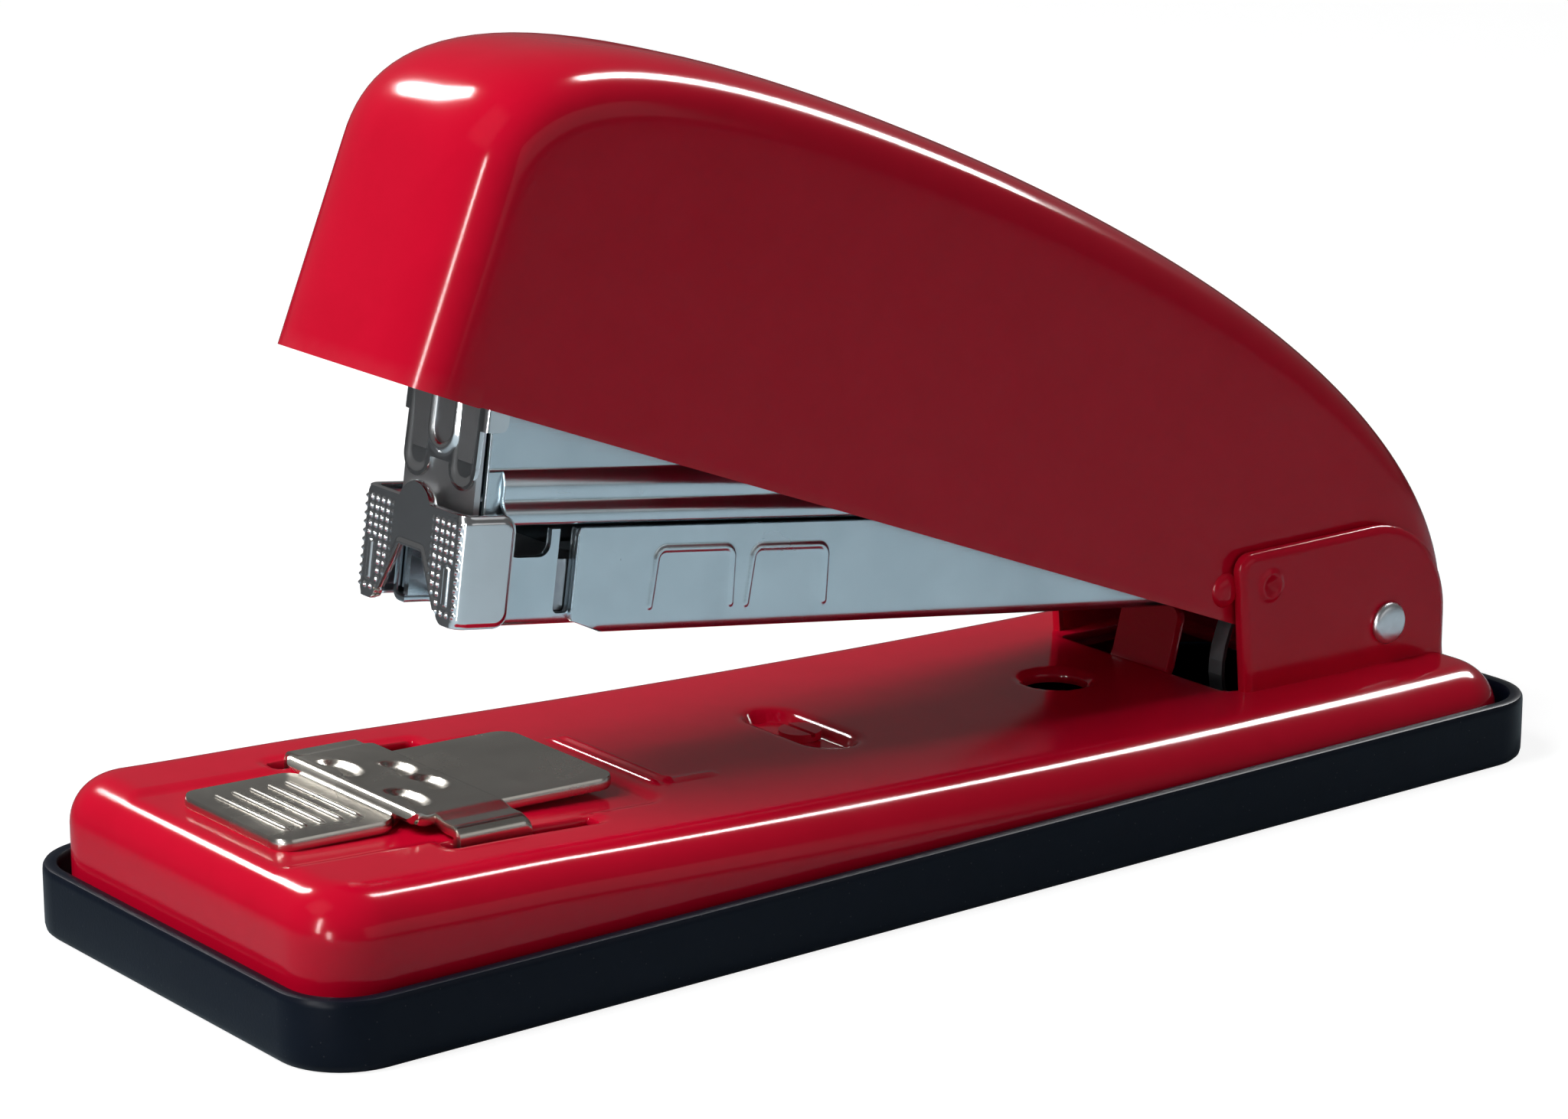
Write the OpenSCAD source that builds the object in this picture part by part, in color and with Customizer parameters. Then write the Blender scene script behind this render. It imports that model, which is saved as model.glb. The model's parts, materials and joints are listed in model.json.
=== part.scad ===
// Desk stapler with a front-loading drawer. X runs along the stapler (+X at the hinge),
// Z is up and the origin is on the desk under the middle of the foot.

/* [Foot and base] */
// Overall length of the black foot
foot_l = 170; // [165:1:175]
// Overall width of the black foot
foot_w = 59.6; // [58:0.2:62]
// Height of the foot's rim
foot_h = 7.6; // [7.4:0.1:8.8]
// Corner radius of the foot
foot_r = 8; // [6:0.5:9]
// Wall of the foot
foot_wall = 1.7; // [1.4:0.1:1.8]
// Gap between the foot's wall and the red base
foot_gap = 0.6; // [0.5:0.1:0.9]
// Sheet thickness of the red base
base_wall = 2; // [1.8:0.1:2.2]
// Diameter of the round hole in the base
base_hole_d = 7.5; // [6:0.1:8]

/* [Hinge] */
// Distance of the hinge pin behind the middle of the foot
pin_x = 70.3; // [70:0.1:70.6]
// Height of the hinge pin
pin_z = 15.9; // [15.8:0.1:16.2]
// Diameter of the hinge pin
pin_d = 3.8; // [3.6:0.1:4]
// Radial clearance round the pin
pin_gap = 0.05; // [0.03:0.01:0.08]
// Half of the distance over the two hinge ears
ear_y = 17; // [16.9:0.1:17.2]
// Sheet thickness of the hinge ears
ear_t = 1.3; // [1.1:0.1:1.4]

/* [Magazine] */
// Tilt of the open magazine in degrees
mag_tilt = 8; // [7.8:0.1:8.2]
// Reach of the nose in front of the pin
nose_s = 126.9; // [126.7:0.1:127]
// Reach of the sleeve in front of the pin
sleeve_s = 111.6; // [111:0.1:112]
// Half width of the sleeve
sleeve_y = 8.5; // [8.4:0.05:8.6]
// Sheet thickness of the magazine parts
sheet = 0.8; // [0.7:0.05:0.8]
// Width of a staple's crown, which the driver blade matches
crown_w = 12.9; // [12.7:0.1:12.9]

/* [Handle] */
// Tilt of the cover's lower edge in degrees
cover_tilt = 21.5; // [21.3:0.1:21.7]
// Reach of the cover in front of the pin
cover_s = 141; // [140:0.5:142]
// Half width of the cover
cover_y = 15.1; // [14.9:0.1:15.2]
// Sheet thickness of the cover
cover_wall = 1; // [0.9:0.05:1.1]
// Height of the cover's roof above the pin, square to its lower edge
roof_z = 35.8; // [34:0.2:36.4]

/* [Anvil] */
// Slope of the anvil in degrees
anvil_tilt = 1.6; // [1.4:0.1:1.8]
// Sheet thickness of the anvil
anvil_t = 1.3; // [1.1:0.1:1.3]
// Half width of the anvil's wide band
band_y = 12.2; // [12:0.1:12.3]
// Reach of the anvil's folded wings on each side
wing_y = 16.6; // [16.4:0.1:16.8]

/* [Hidden] */
$fn = 48;
eps = 0.01;

red = "#b3121d";
black = "#16181c";
steel = "#b9c0c6";
nickel = "#a8a18f";
zinc = "#c3c8cb";
spring_steel = "#70757a";

plate_x = foot_l / 2 - foot_wall - foot_gap;
plate_y = foot_w / 2 - foot_wall - foot_gap;
floor_t = 1.6;
hole_r = pin_d / 2 + pin_gap;
screw_x = -3.5;
anvil_x = -56;
anvil_z = 17.15;
slot_y = [wing_y - anvil_t - 0.25, wing_y + 0.9];
blade_s = [123.35, 124.05];
guide_t = 0.5;
nose_t = 0.9;
nose_y = 9.4;
channel_y = sleeve_y - sheet - 0.2;
rail_y = crown_w / 2 - 0.75;
rail_top = 7.5;
drawer_rear = 36;
rod_z = 4.5;
rod_r = 1;
housing_y = 6.95;
driver_y = housing_y - sheet - 0.25;
web_z = 12.2;

// A point on a cubic curve with the four control points p
function curve_point(p, t) =
    pow(1 - t, 3) * p[0] + 3 * t * pow(1 - t, 2) * p[1] + 3 * t * t * (1 - t) * p[2] + pow(t, 3) * p[3];
function curve(p, n) = [for (i = [0 : n]) curve_point(p, i / n)];
function arc(c, r, a0, a1, n) = [for (i = [0 : n]) let (a = a0 + (a1 - a0) * i / n) c + r * [cos(a), sin(a)]];

// A tube of radius r swept along points p, closed at both ends
module swept_tube(p, r, sides) {
    n = len(p);
    dir = [for (i = [0 : n - 1]) let (d = p[min(i + 1, n - 1)] - p[max(i - 1, 0)]) d / norm(d)];
    ring = [for (i = [0 : n - 1])
        let (side = cross(dir[i], [0, 0, 1]), u = side / norm(side), v = cross(u, dir[i]))
        for (k = [0 : sides - 1]) p[i] + r * (cos(360 * k / sides) * u + sin(360 * k / sides) * v)];
    skin = [for (i = [0 : n - 2]) for (k = [0 : sides - 1])
        let (a = i * sides + k, b = i * sides + (k + 1) % sides)
        each [[a, a + sides, b], [b, a + sides, b + sides]]];
    polyhedron(points = ring, faces = concat([[for (k = [0 : sides - 1]) k]], skin,
        [[for (k = [sides - 1 : -1 : 0]) (n - 1) * sides + k]]), convexity = 10);
}

// A coil of radius r and wire radius w, length h along Z, with closed end turns
function coil_z(f, h, turns) = let (e = 1.5 / turns)
    f < e ? h * 0.04 * f / e : f > 1 - e ? h * (1 - 0.04 * (1 - f) / e) : h * (0.04 + 0.92 * (f - e) / (1 - 2 * e));
module coil(r, w, h, turns, steps) {
    n = turns * steps;
    swept_tube([for (i = [0 : n]) let (f = i / n)
        [r * cos(360 * turns * f), r * sin(360 * turns * f), coil_z(f, h - 2 * w, turns) + w]], w, 6);
}

module rounded_slab(x, y, r, h) {
    linear_extrude(h) union() {
        square([2 * x - 2 * r, 2 * y], center = true);
        square([2 * x, 2 * y - 2 * r], center = true);
        for (i = [-1, 1]) for (j = [-1, 1]) translate([i * (x - r), j * (y - r)]) circle(r);
    }
}

// Draws an XZ outline and gives it a thickness from y0 to y1
module side_sheet(y0, y1) {
    translate([0, y1, 0]) rotate([90, 0, 0]) linear_extrude(y1 - y0) children();
}
module both_sides(y0, y1) {
    for (m = [0, 1]) mirror([0, m, 0]) side_sheet(y0, y1) children();
}
// A box from corner a to corner b
module block(a, b) {
    translate(a) cube(b - a);
}
// A strip of thickness t bent along the curve p, from y0 to y1
module leaf(p, t, y0, y1) {
    n = 14;
    q = curve(p, n);
    back = [for (i = [n : -1 : 0]) let (d = q[min(i + 1, n)] - q[max(i - 1, 0)], u = d / norm(d))
        q[i] + t * [u[1], -u[0]]];
    side_sheet(y0, y1) polygon(concat(q, back));
}
module at_magazine() {
    translate([pin_x, 0, pin_z]) rotate([0, mag_tilt, 0]) children();
}
module at_cover() {
    translate([pin_x, 0, pin_z]) rotate([0, cover_tilt, 0]) children();
}
module at_anvil() {
    translate([anvil_x, 0, anvil_z]) rotate([0, anvil_tilt, 0]) children();
}
module pin_hole(x = 0, z = 0, r = hole_r) {
    translate([x, 0, z]) rotate([90, 0, 0]) cylinder(r = r, h = 2 * foot_w, center = true);
}

// ---- base ----
module base_tray() {
    color(black) difference() {
        rounded_slab(foot_l / 2, foot_w / 2, foot_r, foot_h);
        translate([0, 0, floor_t])
            rounded_slab(foot_l / 2 - foot_wall, foot_w / 2 - foot_wall, foot_r - foot_wall, foot_h);
        translate([screw_x, 0, -eps]) cylinder(r = 1.5, h = foot_h);
        translate([screw_x, 0, -eps]) cylinder(r = 3.2, h = 0.9);
    }
}

// Stations along the base: position, half width, height of the top and its edge radius
stations = [[-plate_x, plate_y - 5, 9.5, 3], [-79.5, plate_y - 1.2, 15, 5], [-75, plate_y, 16.8, 5.5],
            [-30, plate_y, 14.7, 5.5], [0, plate_y, 13, 5.5], [34, plate_y, 11.7, 5],
            [76, plate_y, 11, 4.5], [plate_x, plate_y - 4, 7.2, 2.5]];
module station(s, grow) {
    x = max(-plate_x - grow + eps, min(plate_x + grow - eps, s[0]));
    y = s[1] + grow;
    z = s[2] + grow;
    r = s[3] + grow;
    translate([x, 0, 0]) rotate([90, 0, 90]) linear_extrude(eps) {
        translate([-y, floor_t + eps]) square([2 * y, z - r - floor_t]);
        translate([-y + r, floor_t + eps]) square([2 * y - 2 * r, z - floor_t - eps]);
        for (i = [-1, 1]) translate([i * (y - r), z - r]) circle(r, $fn = 24);
    }
}
module base_solid() {
    for (i = [0 : len(stations) - 2]) hull() {
        station(stations[i], 0);
        station(stations[i + 1], 0);
    }
}
// Underside of the pressed sheet: straight-sided steps that follow the top
function under_z(x) = let (a = [for (s = stations) if (s[0] <= x) s], b = [for (s = stations) if (s[0] > x) s],
    p = a[len(a) - 1], q = b[0]) p[2] + (q[2] - p[2]) * (x - p[0]) / (q[0] - p[0]) - base_wall;
module base_cavity() {
    x0 = -75;
    x1 = 77;
    side_sheet(-plate_y + 5, plate_y - 5) polygon(concat([[x0, 0], [x0, under_z(x0)]],
        [for (x = [-30, 0, 34]) [x, under_z(x)]], [[x1, under_z(x1)], [x1, 0]]));
    side_sheet(-plate_y + base_wall, plate_y - base_wall)
        polygon([[x0 - 3, 0], [x0 - 3, 7], [x1 + 3, 5], [x1 + 3, 0]]);
}
module ear_outline() {
    polygon(concat([[48.4, 9], [46.9, 25.5]], arc([48.9, 25.6], 2, 180, 95, 4), arc([68, 15.6], 12, 90, 0, 12),
        [[80, 9]]));
}
module base_plate() {
    color(red) {
        difference() {
            union() {
                difference() {
                    base_solid();
                    base_cavity();
                }
                for (m = [-1, 1]) at_anvil() translate([26.5, m * 5, -2.6]) cube([2, 8, 1], center = true);
            }
            at_anvil() block([-23.5, -band_y - 2.6, -anvil_t - 0.1], [22.5, band_y + 2.6, 3]);
            for (m = [0, 1]) mirror([0, m, 0])
                at_anvil() block([-5.6, slot_y[0], -8], [13, slot_y[1], 3]);
            translate([33.9, 0, 0]) cylinder(d = base_hole_d, h = 30);
            translate([screw_x, 0, under_z(screw_x) + base_wall - 1.2]) linear_extrude(9) {
                square([6, 9.5], center = true);
                for (m = [-1, 1]) translate([0, m * 4.7]) circle(3);
            }
            translate([screw_x, 0, 0]) cylinder(r = 1.5, h = 30);
            block([47.2, -14.6, 0], [63, 14.6, 30]);
        }
        difference() {
            both_sides(ear_y - ear_t, ear_y) ear_outline();
            pin_hole(pin_x, pin_z);
        }
        translate([46.4, 0, 9.8]) rotate([0, 15, 0]) block([0, -4.7, 0], [1.2, 4.7, 9]);
    }
}

module tray_screw() {
    seat = under_z(screw_x) + base_wall - 1.2;
    color(zinc) translate([screw_x, 0, 0]) difference() {
        union() {
            translate([0, 0, 0.1]) cylinder(r = 3, h = 0.75);
            translate([0, 0, 0.1]) cylinder(r = 1.4, h = seat);
            translate([0, 0, seat + 0.02]) cylinder(r = 2.4, h = 0.9);
        }
        translate([0, 0, seat + 0.8]) cube([0.6, 6, 0.7], center = true);
    }
}

module hinge_pin() {
    color(zinc) {
        translate([pin_x, 0, pin_z]) rotate([90, 0, 0]) {
            cylinder(d = pin_d, h = 2 * ear_y + 1, center = true);
            for (m = [0, 1]) mirror([0, 0, m]) translate([0, 0, ear_y + 0.05]) {
                cylinder(d = 5, h = 0.6);
                translate([0, 0, 0.6]) cylinder(d1 = 5, d2 = 4, h = 0.4);
            }
        }
    }
}

// Forked spring leaf that stands on the foot and lifts the magazine
module lift_spring() {
    fork = [[64, 2.3], [55, 2.3], [49, 8], [54.6, 18.1]];
    color(spring_steel) {
        for (m = [0, 1]) mirror([0, m, 0]) leaf(fork, 0.5, 5.9, 8.1);
        block([62, -8.1, 1.8], [67, 8.1, 2.3]);
    }
}

module anvil_retainer() {
    color(spring_steel) at_anvil() difference() {
        union() {
            block([-7, -wing_y - 2, -6.6], [12, wing_y + 2, -5.8]);
            block([-7, -9, -5.81], [-5, 9, -3.9]);
        }
        for (m = [-1, 1]) translate([2.4, m * (wing_y - 0.6), -7]) block([-8, -0.9, 0], [9, 0.9, 3]);
    }
}
module anvil_detent() {
    color(spring_steel) at_anvil() leaf([[-4.5, -5.7], [2, -5.7], [6, -4.1], [9, -4.8]], 0.3, -3, 3);
}

// ---- anvil ----
module groove(x, y, l) {
    translate([x, y, 0]) rotate([90, 0, 0]) union() {
        cylinder(r = 1.1, h = l - 2.2, center = true);
        for (m = [-1, 1]) translate([0, 0, m * (l / 2 - 1.1)]) sphere(1.1);
    }
}
module anvil_plate() {
    band_z = 0.7;
    color(nickel) at_anvil() difference() {
        union() {
            translate([-14, 0, -anvil_t]) rounded_slab(6.3, 9.9, 2, anvil_t);
            for (i = [0 : 4]) translate([-17.8 + 2.2 * i, 0, -0.1]) rotate([90, 0, 0])
                cylinder(r = 0.45, h = 14, center = true);
            block([-8.7, -9.9, -anvil_t], [-5.2, 9.9, band_z]);
            block([-6.6, -band_y, band_z - anvil_t], [4.9, band_y, band_z]);
            for (m = [0, 1]) mirror([0, m, 0]) {
                block([-3.7, band_y - 1, band_z - anvil_t], [5.1, wing_y, band_z]);
                block([-3.7, wing_y - anvil_t, -3.2], [5.1, wing_y, band_z]);
            }
            translate([12, 0, -anvil_t]) rounded_slab(8.4, 10.2, 2, anvil_t + 0.2);
        }
        for (m = [-1, 1]) {
            groove(-2.9, m * 6.2, 6.4);
            groove(2, m * 2.9, 5);
        }
    }
}

// ---- magazine ----
module magazine_sleeve() {
    color(steel) at_magazine() difference() {
        union() {
            block([-sleeve_s, -sleeve_y, 0.7], [-9, sleeve_y, 12]);
            block([-12, -sleeve_y, -1], [0, sleeve_y, 12]);
            rotate([90, 0, 0]) cylinder(r = 4.4, h = 2 * sleeve_y, center = true);
        }
        block([-sleeve_s - 1, -sleeve_y + sheet, 0.7 + sheet], [-12, sleeve_y - sheet, 13]);
        block([-12.01, -sleeve_y + sheet, -6], [6, sleeve_y - sheet, 13]);
        block([-33, -5.6, -2], [-9, 5.6, 3]);
        block([-2.01, -20, 4], [6, 20, 13]);
        pin_hole();
    }
}

// Half of the housing's section: outer outline from the web up to the wall's top
module housing_section(top) {
    outer = [[0, web_z], [8.2, web_z], [8.3, web_z + 1.6], [7.6, web_z + 2.2], [7.7, web_z + 4.6],
             [housing_y, web_z + 5.6], [housing_y, top]];
    inner = [[housing_y - sheet, top], [housing_y - sheet, web_z + 5.2], [6.9, web_z + 4.2], [6.8, web_z + 1.9],
             [7.4, web_z + 1.3], [7.3, web_z + sheet], [0, web_z + sheet]];
    polygon(concat(outer, inner));
}
module magazine_housing() {
    front = blade_s[0] - 0.4;
    color(steel) at_magazine() difference() {
        union() {
            for (m = [0, 1]) mirror([0, m, 0]) translate([-front, 0, 0]) rotate([90, 0, 90])
                linear_extrude(front - 12) housing_section(27);
            both_sides(housing_y - sheet, housing_y)
                polygon([[-12.5, 27], [-12.5, web_z], [-4.4, 0], [0, -4.4], [4.4, 0], [4.4, 12]]);
            both_sides(housing_y - sheet, housing_y) circle(4.4);
        }
        side_sheet(-20, 20) polygon([[-front - 1, 27.1], [-front + 12, 27.1], [-60, 19.5], [-14, 15], [-2, 5],
            [8, 5], [8, 30], [-front - 1, 30]]);
        block([-front - 1, -5.9, 10], [-115, 5.9, web_z + 1]);
        block([-17, -housing_y + sheet, 10], [-9, housing_y - sheet, web_z + 1]);
        block([-front - 1, -20, 10], [-sleeve_s + 2, 20, web_z + 0.5]);
        for (m = [0, 1]) mirror([0, m, 0]) block([-front - 1, housing_y + 0.02, 10], [-121.3, 20, 27]);
        pin_hole();
    }
}
module housing_rivets() {
    color(zinc) at_magazine() for (x = [-100, -45]) translate([x, 0, web_z]) {
        translate([0, 0, sheet]) cylinder(r = 1.8, h = 0.5);
        translate([0, 0, -0.3]) cylinder(r = 1, h = 1.2);
    }
}
module hinge_spacer() {
    color(zinc) translate([pin_x, 0, pin_z]) rotate([90, 0, 0]) difference() {
        cylinder(r = 3, h = 2 * (driver_y - sheet) - 0.4, center = true);
        cylinder(r = hole_r, h = 30, center = true);
    }
}
module side_bushings() {
    color(zinc) for (m = [0, 1]) mirror([0, m, 0]) translate([pin_x, sleeve_y + 0.05, pin_z])
        rotate([-90, 0, 0]) difference() {
            cylinder(r = 3.2, h = cover_y - cover_wall - sleeve_y - 0.2);
            translate([0, 0, -1]) cylinder(r = hole_r, h = 30);
        }
}
module drawer_latch() {
    color(spring_steel) at_magazine() leaf([[-17.5, web_z - 0.55], [-22, web_z - 0.55], [-28, 11], [-34.8, 7.6]], 0.5, -2.5, 2.5);
}
module return_spring() {
    color(spring_steel) at_magazine() translate([-64, 0, web_z + sheet + 0.05]) coil(3.6, 0.45, 9.4, 6, 14);
}

// ---- drawer ----
// Front view of the nose plate: flat top with an arched bump, and a tapered notch below
module nose_outline() {
    difference() {
        union() {
            translate([-nose_y + 1.5, 2]) square([2 * nose_y - 3, 11.6]);
            translate([-nose_y, 3.5]) square([2 * nose_y, 8.6]);
            for (m = [-1, 1]) {
                translate([m * (nose_y - 1.5), 3.5]) circle(1.5);
                translate([m * (nose_y - 1.5), 12.1]) circle(1.5);
            }
            translate([0, 12.5]) circle(3);
        }
        polygon([[-5.6, 1], [-4.8, 3.2], [-1.8, 8.6], [1.8, 8.6], [4.8, 3.2], [5.6, 1]]);
        translate([0, 8.3]) circle(1.9);
    }
}
module drawer_nose() {
    color(nickel) at_magazine() {
        difference() {
            translate([-nose_s, 0, 0]) rotate([90, 0, 90]) linear_extrude(nose_t) nose_outline();
            for (m = [-1, 1]) translate([-nose_s - 1, m * 7.05, 6]) rotate([0, 90, 0]) linear_extrude(3)
                square([4.4, 0.9], center = true);
        }
        for (m = [0, 1]) mirror([0, m, 0]) {
            side_sheet(nose_y - nose_t, nose_y - 0.02) polygon(concat([[-nose_s + 0.3, 3.6], [-nose_s + 1.1, 2]],
                arc([-121.8, 3.5], 1.5, -90, 0, 4), arc([-121.8, 11.6], 1.5, 0, 90, 4),
                [[-nose_s + 1.1, 13.1], [-nose_s + 0.3, 12]]));
        }
    }
}
module drawer_channel() {
    color(steel) at_magazine() difference() {
        union() {
            block([-123.3, -channel_y, 1.6], [-drawer_rear, channel_y, 11.8]);
            for (m = [-1, 1]) translate([0, m * (channel_y - sheet / 2), 0])
                block([-nose_s, -sheet / 2, 3.9], [-123, sheet / 2, 8.1]);
        }
        block([-nose_s - 1, -channel_y + sheet, 1.6 + sheet], [-drawer_rear + 1, channel_y - sheet, 13]);
        translate([-116.3, 0, 11.6]) rotate([90, 0, 0]) cylinder(r = 2.5, h = 40, center = true);
    }
}
module staple_rail() {
    color(steel) at_magazine() difference() {
        block([-123.2, -rail_y, 1.62 + sheet], [-drawer_rear - 2, rail_y, rail_top]);
        block([-130, -rail_y + sheet, 0], [0, rail_y - sheet, rail_top - sheet]);
        block([-121, -1.6, 5], [-drawer_rear - 6, 1.6, 9]);
    }
}
module drawer_end_plate() {
    color(steel) at_magazine() difference() {
        block([-drawer_rear - 1.2, -channel_y + sheet + 0.05, 2.45], [-drawer_rear, channel_y - sheet - 0.05, 7.4]);
        translate([-drawer_rear - 3, 0, rod_z]) rotate([0, 90, 0]) cylinder(r = rod_r, h = 5);
    }
}
module guide_rod() {
    color(zinc) at_magazine() translate([-122.4, 0, rod_z]) rotate([0, 90, 0]) cylinder(r = rod_r, h = 122.4 - drawer_rear);
}
module follower_spring() {
    start = drawer_rear + 1.3;
    color(spring_steel) at_magazine() translate([-start, 0, rod_z]) rotate([0, -90, 0])
        coil(1.75, 0.25, 108.6 - start, 26, 12);
}
module follower() {
    color(spring_steel) at_magazine() difference() {
        union() {
            block([-122.9, -6.5, 3], [-109, 6.5, 8.4]);
            block([-119, -3.4, 2.6], [-109, 3.4, rail_top]);
        }
        block([-130, -rail_y - 0.15, 2.9], [-100, -3.4, rail_top + 0.15]);
        block([-130, 3.4, 2.9], [-100, rail_y + 0.15, rail_top + 0.15]);
        block([-130, -3.41, 2], [-118.9, 3.41, rail_top + 0.15]);
        block([-120, -3.5, rail_top - sheet - 0.15], [-100, -1.4, rail_top + 0.15]);
        block([-120, 1.4, rail_top - sheet - 0.15], [-100, 3.5, rail_top + 0.15]);
        translate([-130, 0, rod_z]) rotate([0, 90, 0]) cylinder(r = rod_r + 0.06, h = 40);
    }
}

// ---- handle ----
nose_curve = [[-cover_s, 17], [-cover_s, 31], [-126, roof_z + 1], [-84, roof_z]];
tail_curve = [[-84, roof_z], [-40, roof_z - 1], [9, 26.2], [14.6, 2.2]];
module cover_outline(inset) {
    low = -5.2;
    offset_nose = [for (p = curve(nose_curve, 10)) [p[0] + inset * (p[0] < -125 ? 1 : 0), p[1] - inset]];
    offset_tail = [for (p = curve(tail_curve, 14)) [p[0] - inset * (p[0] > 0 ? 1 : 0), p[1] - inset]];
    polygon(concat([[-cover_s + inset, low - (inset > 0 ? 1 : 0)]], offset_nose, offset_tail,
        [[14.2 - inset, 1.5 - (inset > 0 ? 2 : 0)], [-3, low - (inset > 0 ? 1 : 0)]]));
}
module cover_shell() {
    color(red) at_cover() difference() {
        hull() {
            side_sheet(-cover_y, cover_y) cover_outline(4.2);
            side_sheet(-cover_y + 1.5, cover_y - 1.5) cover_outline(1.3);
            side_sheet(-cover_y + 4.5, cover_y - 4.5) cover_outline(0);
        }
        hull() {
            side_sheet(-cover_y + cover_wall, cover_y - cover_wall) cover_outline(4.9);
            side_sheet(-cover_y + 5, cover_y - 5) cover_outline(cover_wall);
        }
        side_sheet(-30, 30) polygon([[-200, -5.2], [-3, -5.2], [14.2, 1.5], [40, 1.5], [40, -40], [-200, -40]]);
        pin_hole();
    }
}
// Pressed box under the roof, whose foot rests on the driver channel
module cover_bracket() {
    color(steel) at_cover() difference() {
        side_sheet(-5.5, 5.5)
            polygon([[-118, 31.6], [-109, 33.2], [-80, 34.3], [-97, 4.6], [-112, 1.6]]);
        side_sheet(-4.7, 4.7)
            polygon([[-125, 29.4], [-109, 32.3], [-70, 33.6], [-80, 8.8], [-97, 5.4], [-120, 0.8]]);
    }
}
rivet_y = 4.3;
module rivet_holes() {
    for (m = [-1, 1]) translate([-130, m * rivet_y, 26]) rotate([0, 90, 0]) cylinder(r = 1, h = 12);
}
module driver_channel() {
    front = blade_s[0];
    color(steel) at_magazine() difference() {
        union() {
            side_sheet(-driver_y, driver_y) polygon([[-front, 22.9], [-front, 28], [-20, 24], [2, 3], [4.3, 0],
                [-4.3, 0], [-14, 14.6]]);
            rotate([90, 0, 0]) cylinder(r = 4.3, h = 2 * driver_y, center = true);
        }
        side_sheet(-driver_y + sheet, driver_y - sheet) polygon([[-front + sheet, 20], [-front + sheet, 27.1], [-20, 23.1],
            [-12, 15], [6, 15], [6, -6], [-14, -6]]);
        rivet_holes();
        pin_hole();
    }
}
module driver_blade() {
    color(steel) at_magazine() difference() {
        block([-blade_s[1], -crown_w / 2, 10.8], [-blade_s[0], crown_w / 2, 33]);
        rivet_holes();
    }
}
module guide_outline() {
    difference() {
        union() {
            translate([-6.5, 17.8]) square([13, 12.2]);
            for (m = [-1, 1]) translate([m * 4.1, 17.7]) circle(2.4);
            translate([-7.6, 20.5]) square([15.2, 8]);
        }
        translate([0, 15.5]) circle(1.9);
        translate([0, 21.2]) circle(1.7);
        translate([-1.7, 21.2]) square([3.4, 12]);
    }
}
module blade_guide() {
    s = blade_s[1] + guide_t;
    color(nickel) at_magazine() {
        difference() {
            translate([-s, 0, 0]) rotate([90, 0, 90]) linear_extrude(guide_t) guide_outline();
            rivet_holes();
        }
        both_sides(7.1, 7.6) polygon([[-s, 20.5], [-123.2, 20.5], [-121.6, 21.8], [-121.6, 28.5], [-s, 28.5]]);
    }
}
module driver_rivets() {
    face = blade_s[1] + guide_t;
    color(zinc) at_magazine() for (m = [-1, 1]) translate([-face - 0.6, m * rivet_y, 26]) rotate([0, 90, 0]) {
        cylinder(r = 1.7, h = 0.55);
        cylinder(r = 0.98, h = 3);
    }
}

base_tray();
base_plate();
tray_screw();
hinge_pin();
lift_spring();
anvil_retainer();
anvil_detent();
anvil_plate();
magazine_sleeve();
magazine_housing();
housing_rivets();
hinge_spacer();
side_bushings();
drawer_latch();
return_spring();
drawer_nose();
drawer_channel();
staple_rail();
drawer_end_plate();
guide_rod();
follower_spring();
follower();
cover_shell();
cover_bracket();
driver_channel();
driver_blade();
blade_guide();
driver_rivets();
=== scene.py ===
import bmesh
import bpy
import json
import math
import numpy as np
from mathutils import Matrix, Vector


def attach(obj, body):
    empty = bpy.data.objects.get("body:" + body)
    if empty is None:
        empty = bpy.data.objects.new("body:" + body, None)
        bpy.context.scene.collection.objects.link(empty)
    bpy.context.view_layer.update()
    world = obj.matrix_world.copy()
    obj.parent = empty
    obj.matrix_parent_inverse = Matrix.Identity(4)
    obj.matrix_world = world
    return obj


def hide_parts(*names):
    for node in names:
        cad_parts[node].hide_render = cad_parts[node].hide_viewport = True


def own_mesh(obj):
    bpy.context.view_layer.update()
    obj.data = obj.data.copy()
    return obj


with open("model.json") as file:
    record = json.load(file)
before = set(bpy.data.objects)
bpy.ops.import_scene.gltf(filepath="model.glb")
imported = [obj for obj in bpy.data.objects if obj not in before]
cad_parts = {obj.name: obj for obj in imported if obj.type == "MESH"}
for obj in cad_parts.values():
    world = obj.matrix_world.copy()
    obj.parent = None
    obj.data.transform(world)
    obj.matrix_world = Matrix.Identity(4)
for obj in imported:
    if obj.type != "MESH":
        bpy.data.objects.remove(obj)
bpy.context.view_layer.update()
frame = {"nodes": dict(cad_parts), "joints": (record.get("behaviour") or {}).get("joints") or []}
mm = 0.001
weld = 0.00001    # points nearer than this, in metres, are one
pin = [c / mm for c in [j for j in frame["joints"] if j["name"] == "magazine_hinge"][0]["pos_m"]]
scene = bpy.context.scene
nodes = frame["nodes"]

# camera
view = {"eye": (-0.3032, -0.3814, 0.1654), "target": (0.00945, 0.01945, 0.02588),
        "lens": 105.8, "sensor": 36}


def makeCamera():
    data = bpy.data.cameras.new("camera")
    cam = bpy.data.objects.new("camera", data)
    scene.collection.objects.link(cam)
    cam.location = view["eye"]
    aim = Vector(view["target"]) - Vector(view["eye"])
    cam.rotation_euler = aim.to_track_quat("-Z", "Y").to_euler()
    data.lens = view["lens"]
    data.sensor_width = view["sensor"]
    data.clip_start = 0.01
    scene.camera = cam


makeCamera()


# frames of the tilted groups, in mm
def tilted(origin, degrees):
    c, s = math.cos(math.radians(degrees)), math.sin(math.radians(degrees))

    def place(x, y, z):
        return np.stack([origin[0] + x * c + z * s, origin[1] + y, origin[2] - x * s + z * c], -1)
    return place


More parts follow.
